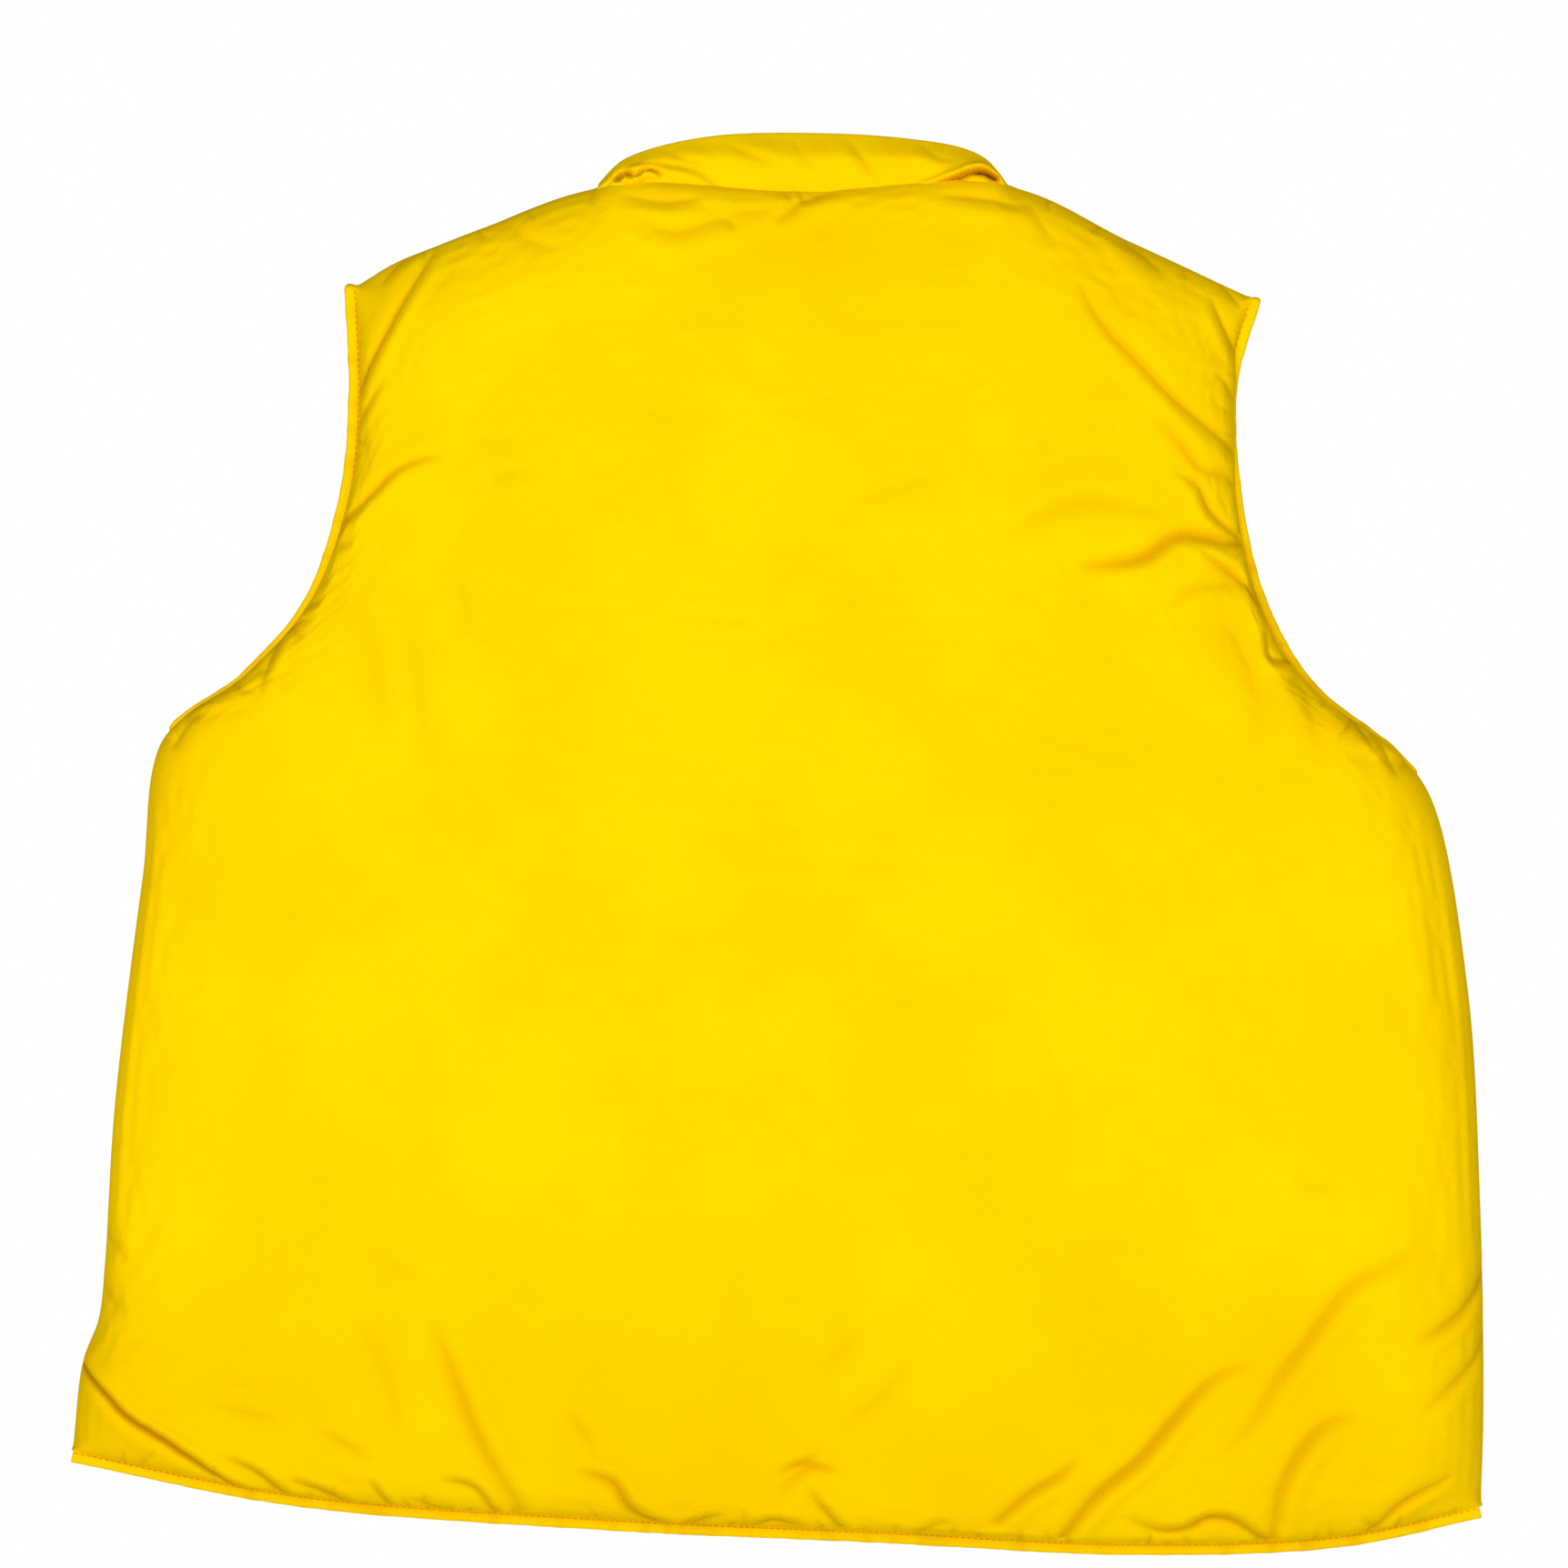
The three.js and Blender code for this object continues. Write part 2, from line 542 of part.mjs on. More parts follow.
for (const [word, side] of Object.entries(sides)) {
  const tapeInner = TEETH_REACH + TOUCH_GAP;
  add(`zip_tape_${word}`,
    new THREE.BoxGeometry(TAPE_REACH - tapeInner, TAPE_THICKNESS, ZIP_TOP - ZIP_BOTTOM),
    looks.tape(),
    [side.sign * (TAPE_REACH + tapeInner) / 2, ZIP_MIDDLE_Y, (ZIP_TOP + ZIP_BOTTOM) / 2]);
  add(`zip_teeth_${word}`,
    new THREE.BoxGeometry(TEETH_REACH - TEETH_HALF_GAP, TEETH_THICKNESS, TEETH_TOP - TEETH_BOTTOM),
    looks.tooth(),
    [side.sign * (TEETH_REACH + TEETH_HALF_GAP) / 2, ZIP_MIDDLE_Y, (TEETH_TOP + TEETH_BOTTOM) / 2]);
}
const END_HEIGHT = TEETH_BOTTOM - TOUCH_GAP - ZIP_BOTTOM;
const END_MIDDLE = (TEETH_BOTTOM - TOUCH_GAP + ZIP_BOTTOM) / 2;
add('zip_pin', new THREE.BoxGeometry(TEETH_REACH - TEETH_HALF_GAP, TEETH_THICKNESS, END_HEIGHT),
  looks.metal(), [-(TEETH_REACH + TEETH_HALF_GAP) / 2, ZIP_MIDDLE_Y, END_MIDDLE]);
add('zip_box', new THREE.BoxGeometry(TEETH_REACH - TEETH_HALF_GAP, TEETH_THICKNESS + 0.8, END_HEIGHT),
  looks.metal(), [(TEETH_REACH + TEETH_HALF_GAP) / 2, ZIP_MIDDLE_Y, END_MIDDLE]);

// The slider: two plates round the teeth, the web between them and a bridge for the pull.
const teethFront = ZIP_MIDDLE_Y + TEETH_THICKNESS / 2;
const teethBack = ZIP_MIDDLE_Y - TEETH_THICKNESS / 2;
const sliderBottom = SLIDER.top - SLIDER.height;
const sliderMiddle = SLIDER.top - SLIDER.height / 2;
const plateFront = teethFront + TOUCH_GAP + SLIDER.plate;
const bridgeTop = plateFront + 3.9;
function sliderGeometry() {
  const box = (w, d, h, x, y, z) => new THREE.BoxGeometry(w, d, h).translate(x, y, z);
  const front = box(SLIDER.width, SLIDER.plate, SLIDER.height, 0,
    teethFront + TOUCH_GAP + SLIDER.plate / 2, sliderMiddle);
  const back = box(SLIDER.width, SLIDER.plate, SLIDER.height, 0,
    teethBack - TOUCH_GAP - SLIDER.plate / 2, sliderMiddle);
  const web = box(SLIDER.web, TEETH_THICKNESS + 2 * TOUCH_GAP + SLIDER.plate, 4, 0,
    ZIP_MIDDLE_Y, SLIDER.top - 2);
  const bridgeOutline = new THREE.Shape();
  const [legLow, legHigh] = [sliderBottom + 2.5, SLIDER.top - 0.8];
  bridgeOutline.moveTo(plateFront - 0.5, legLow);
  bridgeOutline.lineTo(bridgeTop - 1.2, legLow);
  bridgeOutline.quadraticCurveTo(bridgeTop, legLow, bridgeTop, legLow + 1.5);
  bridgeOutline.lineTo(bridgeTop, legHigh - 1.5);
  bridgeOutline.quadraticCurveTo(bridgeTop, legHigh, bridgeTop - 1.2, legHigh);
  bridgeOutline.lineTo(plateFront - 0.5, legHigh);
  bridgeOutline.lineTo(plateFront - 0.5, legHigh - 1.2);
  bridgeOutline.lineTo(bridgeTop - 1.2, legHigh - 1.2);
  bridgeOutline.lineTo(bridgeTop - 1.2, legLow + 1.2);
  bridgeOutline.lineTo(plateFront - 0.5, legLow + 1.2);
  const bridge = new THREE.ExtrudeGeometry(bridgeOutline,
    { depth: 1.8, bevelEnabled: false, curveSegments: 4 });
  // Drawn with y across and z up: send the drawing's x to y, its y to z and its depth to x.
  bridge.applyMatrix4(new THREE.Matrix4().makeBasis(new THREE.Vector3(0, 1, 0),
    new THREE.Vector3(0, 0, 1), new THREE.Vector3(1, 0, 0)));
  bridge.translate(-0.9, 0, 0);
  return [back, web, bridge].reduce(join, front);
}
add('zip_slider', sliderGeometry(), looks.metal());

// The pull hangs from a bar under the bridge and swings about that bar.
const pullY = plateFront + 1.55;
const pullZ = SLIDER.top - 3.4;
function pullGeometry() {
  const half = PULL.width / 2;
  const outline = new THREE.Shape();
  outline.moveTo(-half, PULL.bar / 2);
  outline.lineTo(-half * 0.82, -PULL.length + 3);
  outline.quadraticCurveTo(-half * 0.82, -PULL.length, 0, -PULL.length);
  outline.quadraticCurveTo(half * 0.82, -PULL.length, half * 0.82, -PULL.length + 3);
  outline.lineTo(half, PULL.bar / 2);
  const hole = new THREE.Path([[-1.5, -PULL.bar / 2], [-1.5, -PULL.window], [1.5, -PULL.window],
    [1.5, -PULL.bar / 2]].map(([x, z]) => new THREE.Vector2(x, z)));
  outline.holes.push(hole);
  const tab = new THREE.ExtrudeGeometry(outline,
    { depth: PULL.thickness, bevelEnabled: false, curveSegments: 5 });
  tab.translate(0, 0, -PULL.thickness / 2);
  tab.rotateX(Math.PI / 2);
  return tab;
}
add('zip_pull', pullGeometry(), looks.metal(), [0, pullY, pullZ]);

// ---------------------------------------------------------------- gas inflator

const frontFace = SHELL_EDGE + FRONT_CROWN;
const [inflatorX, inflatorZ] = INFLATOR_AT;
const STEM_RADIUS = 8;
const HOLE_RADIUS = 9;

// A disc or ring facing the front, its back face on y = near.
function frontDisc(radius, hole, near, thickness, x, z) {
  const outline = new THREE.Shape().absarc(0, 0, radius, 0, Math.PI * 2);
  if (hole) outline.holes.push(new THREE.Path().absarc(0, 0, hole, 0, Math.PI * 2, true));
  const disc = new THREE.ExtrudeGeometry(outline,
    { depth: thickness, bevelEnabled: false, curveSegments: 12 });
  disc.rotateX(Math.PI / 2);
  disc.translate(x, near + thickness, z);
  return disc;
}

// The stems go through the shell to the cell's skin.
const pierce = (word, radius, [x, z]) => {
  cutFrom(`front_${word}_shell`, frontDisc(radius, 0, frontFace - 6, 12, x, z));
};
pierce('left', HOLE_RADIUS, INFLATOR_AT);
pierce('right', HOLE_RADIUS, ORAL_AT);

const patchFace = frontFace + TOUCH_GAP;
const flangeFace = patchFace + 1.2 + TOUCH_GAP;
const headFace = flangeFace + 2.4 + TOUCH_GAP;
const stemFoot = frontFace - SHELL_THICKNESS;
add('inflator_patch', frontDisc(32, HOLE_RADIUS, patchFace, 1.2, inflatorX, inflatorZ),
  looks.shell());
add('inflator_manifold', join(
  frontDisc(21, 0, flangeFace, 2.4, inflatorX, inflatorZ),
  frontDisc(STEM_RADIUS, 0, stemFoot, flangeFace - stemFoot + 1, inflatorX, inflatorZ),
), looks.rubber());

function roundedBlock(width, height, depth, radius) {
  const [w, h] = [width / 2, height / 2];
  const outline = new THREE.Shape();
  outline.moveTo(-w + radius, -h);
  outline.lineTo(w - radius, -h);
  outline.quadraticCurveTo(w, -h, w, -h + radius);
  outline.lineTo(w, h - radius);
  outline.quadraticCurveTo(w, h, w - radius, h);
  outline.lineTo(-w + radius, h);
  outline.quadraticCurveTo(-w, h, -w, h - radius);
  outline.lineTo(-w, -h + radius);
  outline.quadraticCurveTo(-w, -h, -w + radius, -h);
  const block = new THREE.ExtrudeGeometry(outline,
    { depth, bevelEnabled: false, curveSegments: 4 });
  block.rotateX(Math.PI / 2);
  block.translate(0, depth, 0);
  return block;
}
const tongue = roundedBlock(HEAD.tongueWidth, HEAD.tongueHeight, HEAD.tongueDepth, 4)
  .translate(0, 0, -HEAD.height / 2 - HEAD.tongueHeight / 2 + 3);
add('inflator_head', join(roundedBlock(HEAD.width, HEAD.height, HEAD.depth, 5), tongue),
  looks.blackPlastic(), [inflatorX, headFace, inflatorZ]);

// The cylinder stands neck down on the head.
const cylinderY = frontFace + CYLINDER.radius + 1;
const cylinderFoot = inflatorZ + HEAD.height / 2 + TOUCH_GAP;
function cylinderGeometry() {
  const { radius, length, neck } = CYLINDER;
  const profile = [[0, 0], [neck, 0], [neck, 8], [neck + 2, 11]];
  for (const angle of [0.3, 0.6, 0.9, 1.2]) {
    profile.push([mix(neck + 2, radius, Math.sin(angle * Math.PI / 2.4)), 11 + 8 * angle]);
  }
  profile.push([radius, 22], [radius, length - 10]);
  for (const angle of [0.35, 0.7, 1.05, 1.4]) {
    profile.push([radius * Math.cos(angle), length - 10 + 10 * Math.sin(angle)]);
  }
  profile.push([0, length]);
  const lathe = new THREE.LatheGeometry(profile.map(([r, h]) => new THREE.Vector2(r, h)), 20);
  return lathe.rotateX(Math.PI / 2);
}
add('co2_cylinder', cylinderGeometry(), looks.steel(), [inflatorX, cylinderY, cylinderFoot]);

// The lever pivots on the tongue below the head and is pulled down by the handle.
const leverY = headFace + HEAD.tongueDepth + TOUCH_GAP;
const pivotX = inflatorX + 2;
const pivotZ = inflatorZ - HEAD.height / 2 - 7;
function leverGeometry() {
  const half = LEVER.width / 2;
  const outline = new THREE.Shape();
  outline.absarc(0, 0, half, Math.PI / 2, Math.PI * 1.5);
  outline.lineTo(LEVER.length, -half * 0.7);
  outline.absarc(LEVER.length, 0, half * 0.7, -Math.PI / 2, Math.PI / 2);
  const lever = new THREE.ExtrudeGeometry(outline,
    { depth: LEVER.thickness, bevelEnabled: false, curveSegments: 5 });
  lever.rotateX(Math.PI / 2);
  lever.translate(0, LEVER.thickness, 0);
  return lever;
}
add('inflator_lever', leverGeometry(), looks.redPlastic(), [pivotX, leverY, pivotZ]);

// The pull strap hangs from the lever's tip, and the handle is moulded on its end.
const tipX = pivotX + LEVER.length;
const strapY = leverY + LEVER.thickness + TOUCH_GAP;
const strapTop = pivotZ + 3;
add('pull_strap', new THREE.BoxGeometry(STRAP.width, STRAP.thickness, STRAP.length),
  looks.redPlastic(), [tipX, strapY + STRAP.thickness / 2, strapTop - STRAP.length / 2]);
function handleGeometry() {
  const { width, length, thickness } = HANDLE;
  const outline = new THREE.Shape();
  outline.moveTo(7, 0);
  outline.lineTo(-7, 0);
  outline.quadraticCurveTo(-width / 2, -length * 0.45, -width / 2, -length * 0.68);
  outline.quadraticCurveTo(-width / 2, -length, 0, -length);
  outline.quadraticCurveTo(width / 2, -length, width / 2, -length * 0.68);
  outline.quadraticCurveTo(width / 2, -length * 0.45, 7, 0);
  outline.holes.push(new THREE.Path().absarc(0, -length * 0.66, 6.5, 0, Math.PI * 2, true));
  const handle = new THREE.ExtrudeGeometry(outline,
    { depth: thickness, bevelEnabled: false, curveSegments: 8 });
  handle.rotateX(Math.PI / 2);
  handle.translate(0, thickness / 2, 0);
  return handle;
}
add('pull_handle', handleGeometry(), looks.redPlastic(),
  [tipX, strapY + STRAP.thickness / 2, strapTop - STRAP.length - TOUCH_GAP]);

// ---------------------------------------------------------------- oral inflation tube

const [oralX, oralZ] = ORAL_AT;
const valveFoot = oralZ + 190;
const tubeLine = frontFace + VALVE.radius + 0.6;
add('oral_flange', join(
  join(frontDisc(20, 0, patchFace, 2, oralX, oralZ),
    frontDisc(STEM_RADIUS, 0, stemFoot, patchFace - stemFoot + 1, oralX, oralZ)),
  frontDisc(STEM_RADIUS, 0, patchFace + 1, 3, oralX, oralZ),
), looks.rubber());

class TubePath extends THREE.Curve {
  constructor(points) {
    super();
    this.line = new THREE.CatmullRomCurve3(points, false, 'centripetal');
  }

  getPoint(t) {
    return this.line.getPoint(t);
  }
}
const valveX = oralX - 22;
const tubeStart = patchFace + 4 + 3 * TOUCH_GAP;
const tubePath = new TubePath([
  new THREE.Vector3(oralX, tubeStart, oralZ),
  new THREE.Vector3(oralX, tubeStart + 3, oralZ),
  new THREE.Vector3(oralX, tubeStart + 8.5, oralZ + 4),
  new THREE.Vector3(oralX - 1, tubeStart + 10, oralZ + 15),
  new THREE.Vector3(oralX - 4, tubeLine + 1.5, oralZ + 42),
  new THREE.Vector3(oralX - 12, tubeLine, oralZ + 85),
  new THREE.Vector3(valveX + 3, tubeLine, oralZ + 125),
  new THREE.Vector3(valveX, tubeLine, oralZ + 155),
  new THREE.Vector3(valveX, tubeLine, valveFoot - TOUCH_GAP),
]);
const roundSection = new THREE.Shape().absarc(0, 0, TUBE_RADIUS, 0, Math.PI * 2);
add('oral_tube', new THREE.ExtrudeGeometry(roundSection,
  { extrudePath: tubePath, steps: 36, curveSegments: 5, bevelEnabled: false }), looks.rubber());

// The mouthpiece is open at its lip, and the valve's plunger stands in its bore.
function mouthpiece() {
  const { radius, length, bore } = VALVE;
  const profile = [[0, 0], [radius - 1, 0], [radius, 1], [radius, 10], [radius - 1.5, 12],
    [radius - 1.5, length - 2], [radius - 2.2, length], [bore, length], [bore, 6], [0, 6]];
  const lathe = new THREE.LatheGeometry(profile.map(([r, h]) => new THREE.Vector2(r, h)), 20);
  return lathe.rotateX(Math.PI / 2);
}
add('oral_valve_body', mouthpiece(), looks.blackPlastic(), [valveX, tubeLine, valveFoot]);
const plungerLength = VALVE.length - 6 - VALVE.travel - 1;
add('oral_valve_plunger',
  new THREE.CylinderGeometry(VALVE.plunger, VALVE.plunger, plungerLength, 16).rotateX(Math.PI / 2),
  looks.redPlastic(), [valveX, tubeLine, valveFoot + 6 + VALVE.travel + 0.5 + plungerLength / 2]);

// An elastic keeper holds the tube against the front.
function keeperGeometry() {
  const inside = TUBE_RADIUS + 0.9;
  const outside = inside + 1.5;
  const low = patchFace - tubeLine;
  const outline = new THREE.Shape();
  outline.moveTo(-outside - 9, low);
  outline.lineTo(-inside, low);
  outline.lineTo(-inside, 0);
  outline.absarc(0, 0, inside, Math.PI, 0, true);
  outline.lineTo(inside, low);
  outline.lineTo(outside + 9, low);
  outline.lineTo(outside + 9, low + 1.5);
  outline.lineTo(outside, low + 1.5);
  outline.lineTo(outside, 0);
  outline.absarc(0, 0, outside, 0, Math.PI);
  outline.lineTo(-outside, low + 1.5);
  outline.lineTo(-outside - 9, low + 1.5);
  const keeper = new THREE.ExtrudeGeometry(outline,
    { depth: 14, bevelEnabled: false, curveSegments: 8 });
  return keeper.translate(0, 0, -7);
}
const keeperZ = valveFoot - 18;
add('tube_keeper', keeperGeometry(), looks.tape(), [valveX, tubeLine, keeperZ]);

export default vest;
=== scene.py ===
"""Looks of the inflatable life jacket: a puffy yellow vest, seen square-on from behind.

Metres, +Z up, the wearer's back towards -Y. Drawing sizes below are in millimetres.
"""

import json
import math

import bmesh
import bpy
import numpy as np
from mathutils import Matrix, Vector

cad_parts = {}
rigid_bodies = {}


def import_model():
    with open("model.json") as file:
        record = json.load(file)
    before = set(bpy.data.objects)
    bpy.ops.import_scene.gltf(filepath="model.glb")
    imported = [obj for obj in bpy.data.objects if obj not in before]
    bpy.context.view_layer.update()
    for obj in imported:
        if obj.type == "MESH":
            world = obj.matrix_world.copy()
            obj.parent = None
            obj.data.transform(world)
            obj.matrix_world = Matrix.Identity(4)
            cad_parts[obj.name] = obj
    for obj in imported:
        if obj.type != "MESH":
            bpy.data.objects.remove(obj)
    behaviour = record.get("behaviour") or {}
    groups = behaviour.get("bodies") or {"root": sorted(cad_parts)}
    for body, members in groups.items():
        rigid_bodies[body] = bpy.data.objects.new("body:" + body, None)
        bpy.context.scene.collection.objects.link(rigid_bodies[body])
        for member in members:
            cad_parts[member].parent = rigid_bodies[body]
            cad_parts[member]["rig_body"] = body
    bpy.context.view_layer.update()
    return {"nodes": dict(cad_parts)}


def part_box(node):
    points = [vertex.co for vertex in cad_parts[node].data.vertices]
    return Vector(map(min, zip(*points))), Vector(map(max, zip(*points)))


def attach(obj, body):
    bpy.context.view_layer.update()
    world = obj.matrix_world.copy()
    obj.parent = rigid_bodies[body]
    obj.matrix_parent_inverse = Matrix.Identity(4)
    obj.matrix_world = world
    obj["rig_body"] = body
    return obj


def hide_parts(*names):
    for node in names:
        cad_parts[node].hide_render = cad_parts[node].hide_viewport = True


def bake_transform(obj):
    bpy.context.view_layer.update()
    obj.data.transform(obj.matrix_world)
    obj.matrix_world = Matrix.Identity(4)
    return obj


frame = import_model()

MM = 0.001
SHOULDER = [(-232, -45), (-213, -34), (-190, -25), (-166, -16), (-105, 4), (0, 0), (105, 4),
            (168, -24), (230, -52)]
LEFT_SIDE = [(-232, -45), (-230, -100), (-234, -148), (-252, -203), (-283, -240),
             (-324, -273), (-335, -345), (-349, -460), (-354, -540), (-357, -566), (-365, -588),
             (-371, -638)]
RIGHT_SIDE = [(230, -52), (218, -95), (219, -142), (231, -200), (256, -245), (300, -281),
              (317, -305), (335, -400), (341, -500), (343, -600), (342, -666)]
HEM = [(-371, -638), (-260, -660), (-110, -672), (40, -679), (165, -685), (270, -681),
       (342, -666)]
LEFT_SEAM = [(-124, -5), (-322, -648)]
RIGHT_SEAM = [(124, -5), (300, -677)]
BAND = 6.5 * MM
BAND_LOW, BAND_HIGH = 8 * MM, 11.5 * MM
BACK_HEIGHT, FRONT_HEIGHT = 42.5 * MM, 37.4 * MM
# How far from the middle plane the panels' edges lie: under the bands, under the back collar,
# under the front collars and at the zip.
SEWN_LOW, BACK_NECK_LOW, FRONT_NECK_LOW, ZIP_LOW = 9.4 * MM, 15.5 * MM, 11.0 * MM, 11.2 * MM
TUCK = 5.6 * MM
LINING_LEVEL = 8.4 * MM
COLLAR_THICK, COLLAR_LEVEL, COLLAR_LEAN = 13.0 * MM, 14.6, 7.0
CENTRE = 10
FOLD_GAIN = 1.3
SETTLE_FRAMES, SETTLE_PRESSURE, SETTLE_CAP = 22, 1.2, 4.5 * MM
TURN_STEPS = 24
STITCH_PITCH = 3.1 * MM
SEAM_REACH = 17 * MM
# How far in from its seams a panel's cloth is cut overlong, so that it buckles there.
LOOSE = 55 * MM
FLOOR_LEVEL = -0.9


# ---------------------------------------------------------------- curves and grids

def smooth(points):
    """A curve through [x, z] points in millimetres, as a function of t from 0 to 1 along it."""
    p = np.array(points, float) * MM
    p = np.vstack([2 * p[0] - p[1], p, 2 * p[-1] - p[-2]])
    s = np.linspace(0, 1, 40, endpoint=False)[:, None]
    out = []
    for i in range(1, len(p) - 2):
        a, b, c, d = p[i - 1:i + 3]
        k0, k1, k2 = (max(np.linalg.norm(q - r) ** 0.5, 1e-6)
                      for q, r in ((b, a), (c, b), (d, c)))
        m1 = ((b - a) / k0 - (c - a) / (k0 + k1) + (c - b) / k1) * k1
        m2 = ((c - b) / k1 - (d - b) / (k1 + k2) + (d - c) / k2) * k1
        out.append(b + m1 * s + (3 * (c - b) - 2 * m1 - m2) * s ** 2
                   + (2 * (b - c) + m1 + m2) * s ** 3)
    line = np.vstack(out + [p[-2][None]])
    along = lengths(line)
    along /= along[-1]
    return lambda t: np.stack([np.interp(t, along, line[:, k]) for k in (0, 1)], -1)


def lengths(line):
    """How far along a row of points each point lies."""
    return np.concatenate([[0], np.cumsum(np.linalg.norm(np.diff(line, axis=0), axis=1))])


def straight(ends):
    a, b = (np.array(e, float) * MM for e in ends)
    return lambda t: a + np.asarray(t, float)[..., None] * (b - a)


def stretch(curve, first, last):
    return lambda t: curve(first + (last - first) * np.asarray(t, float))


def shifted(curve, z):
    return lambda t: curve(t) + np.array([0.0, z])


def reverse(curve):
    return lambda t: curve(1 - np.asarray(t, float))


def where(curve, axis, value):
    """The t at which a curve passes a value of x (axis 0) or z (axis 1)."""
    t = np.linspace(0, 1, 4001)
    return float(t[np.argmin(np.abs(curve(t)[:, axis] - value))])


MIDDLE = np.array([0, -0.33])


def inward(curve, t):
    """The direction square to a curve, towards the middle of the garment."""
    t = np.asarray(t, float)
    d = curve(np.minimum(t + 0.004, 1)) - curve(np.maximum(t - 0.004, 0))
    d /= np.linalg.norm(d, axis=-1, keepdims=True)
    n = np.stack([-d[..., 1], d[..., 0]], -1)
    flip = np.sum(n * (MIDDLE - curve(t)), -1, keepdims=True) < 0
    return np.where(flip, -n, n)


def inset(curve, by):
    """A curve moved inwards, by a distance that may change along it."""
    return lambda t: curve(t) + inward(curve, t) * np.asarray(by(t) if callable(by) else by,
                                                              float)[..., None]


def ramp(value, low, high):
    t = np.clip((value - low) / (high - low), 0, 1)
    return t * t * (3 - 2 * t)


def even(n, crowd=0.5):
    """Steps from 0 to 1 that crowd towards both ends."""
    t = np.linspace(0, 1, n)
    return (1 - crowd) * t + crowd * (1 - np.cos(np.pi * t)) / 2


class Patch:
    """A grid of places between four edge curves, each with its distance to each edge."""

    def __init__(self, top, bottom, left, right, columns, rows, crowd=0.5, meet=False):
        u, v = even(columns, crowd), even(rows, crowd)
        U, V = np.meshgrid(u, v)
        t, b, l, r = top(u)[None], bottom(u)[None], left(v)[:, None], right(v)[:, None]
        if meet:
            near_top, near_bottom = (1 - v[:, None, None]) ** 8, v[:, None, None] ** 8
            l = l + near_top * (t[:, :1] - l[:1]) + near_bottom * (b[:, :1] - l[-1:])
            r = r + near_top * (t[:, -1:] - r[:1]) + near_bottom * (b[:, -1:] - r[-1:])
        UU, VV = U[..., None], V[..., None]
        corner = ((1 - VV) * ((1 - UU) * t[:, :1] + UU * t[:, -1:])
                  + VV * ((1 - UU) * b[:, :1] + UU * b[:, -1:]))
        self.place = l * (1 - UU) + r * UU + t * (1 - VV) + b * VV - corner
        self.u, self.v = U, V
        width = np.linalg.norm(r - l, axis=-1)
        height = np.abs(b - t)[..., 1]
        self.left, self.right = U * width, (1 - U) * width
        self.top, self.bottom = V * height, (1 - V) * height


def cubic(fine, coarse):
    """Weights that read a coarse row of values smoothly at a fine row of places."""
    t = np.linspace(0, coarse - 1, fine)
    i = np.minimum(np.floor(t).astype(int), coarse - 2)
    f = t - i
    w = np.zeros((fine, coarse))
    parts = (-0.5 * f + f ** 2 - 0.5 * f ** 3, 1 - 2.5 * f ** 2 + 1.5 * f ** 3,
             0.5 * f + 2 * f ** 2 - 1.5 * f ** 3, -0.5 * f ** 2 + 0.5 * f ** 3)
    for k, part in zip((-1, 0, 1, 2), parts):
        np.add.at(w, (np.arange(fine), np.clip(i + k, 0, coarse - 1)), part)
    return w


def enlarge(field, rows, columns):
    a, b = cubic(rows, field.shape[0]), cubic(columns, field.shape[1])
    return np.einsum("ri,ij...,cj->rc...", a, field, b)


def rough_field(shape, cells, seed):
    """A smooth seeded random field from about -1 to 1."""
    rng = np.random.default_rng(seed)
    return enlarge(rng.uniform(-1, 1, cells), *shape)


def ripple(t, steps, seed):
    """A smooth seeded random row along t from 0 to 1."""
    rng = np.random.default_rng(seed)
    knots = rng.uniform(-1, 1, steps)
    fine = cubic(2000, steps) @ knots
    return np.interp(t, np.linspace(0, 1, 2000), fine)


# ---------------------------------------------------------------- meshes

def grid_mesh(name, points, flat=None, loop=False, outwards=None, fold=None):
    """A mesh over a grid of points. flat gives each point's place on the cloth, in metres."""
    rows, columns = points.shape[:2]
    index = np.arange(rows * columns).reshape(rows, columns)
    if loop:
        index = np.vstack([index, index[:1]])
    faces = np.stack([index[:-1, :-1], index[:-1, 1:], index[1:, 1:], index[1:, :-1]], -1)
    faces = faces.reshape(-1, 4)
    if outwards is not None:
        a, b, d = (points.reshape(-1, 3)[faces[:, k]] for k in (0, 1, 3))
        if np.sum(np.cross(b - a, d - a) @ np.array(outwards, float)) < 0:
            faces = faces[:, ::-1]
    return raw_mesh(name, points.reshape(-1, 3), faces,
                    None if flat is None else flat.reshape(-1, 2),
                    None if fold is None else fold.reshape(-1))


def raw_mesh(name, points, faces, flat=None, fold=None):
    mesh = bpy.data.meshes.new(name)
    mesh.vertices.add(len(points))
    mesh.vertices.foreach_set("co", np.asarray(points, np.float32).ravel())
    sizes = faces.shape[1]
    mesh.loops.add(faces.size)
    mesh.loops.foreach_set("vertex_index", faces.astype(np.int32).ravel())
    mesh.polygons.add(len(faces))
    mesh.polygons.foreach_set("loop_start", np.arange(0, faces.size, sizes, dtype=np.int32))
    mesh.update(calc_edges=True)
    mesh.polygons.foreach_set("use_smooth", np.ones(len(faces), bool))
    if flat is not None:
        layer = mesh.uv_layers.new(name="cloth")
        layer.data.foreach_set("uv", flat[faces.ravel()].astype(np.float32).ravel())
    # The fold attribute is a mask of painted shade, which the cloth materials darken by.
    if fold is not None:
        attribute = mesh.attributes.new("fold", "FLOAT", "POINT")
        attribute.data.foreach_set("value", fold.astype(np.float32))
    mesh.validate()
    return in_scene(name, mesh)


def in_scene(name, data):
    obj = bpy.data.objects.new(name, data)
    bpy.context.scene.collection.objects.link(obj)
    return obj


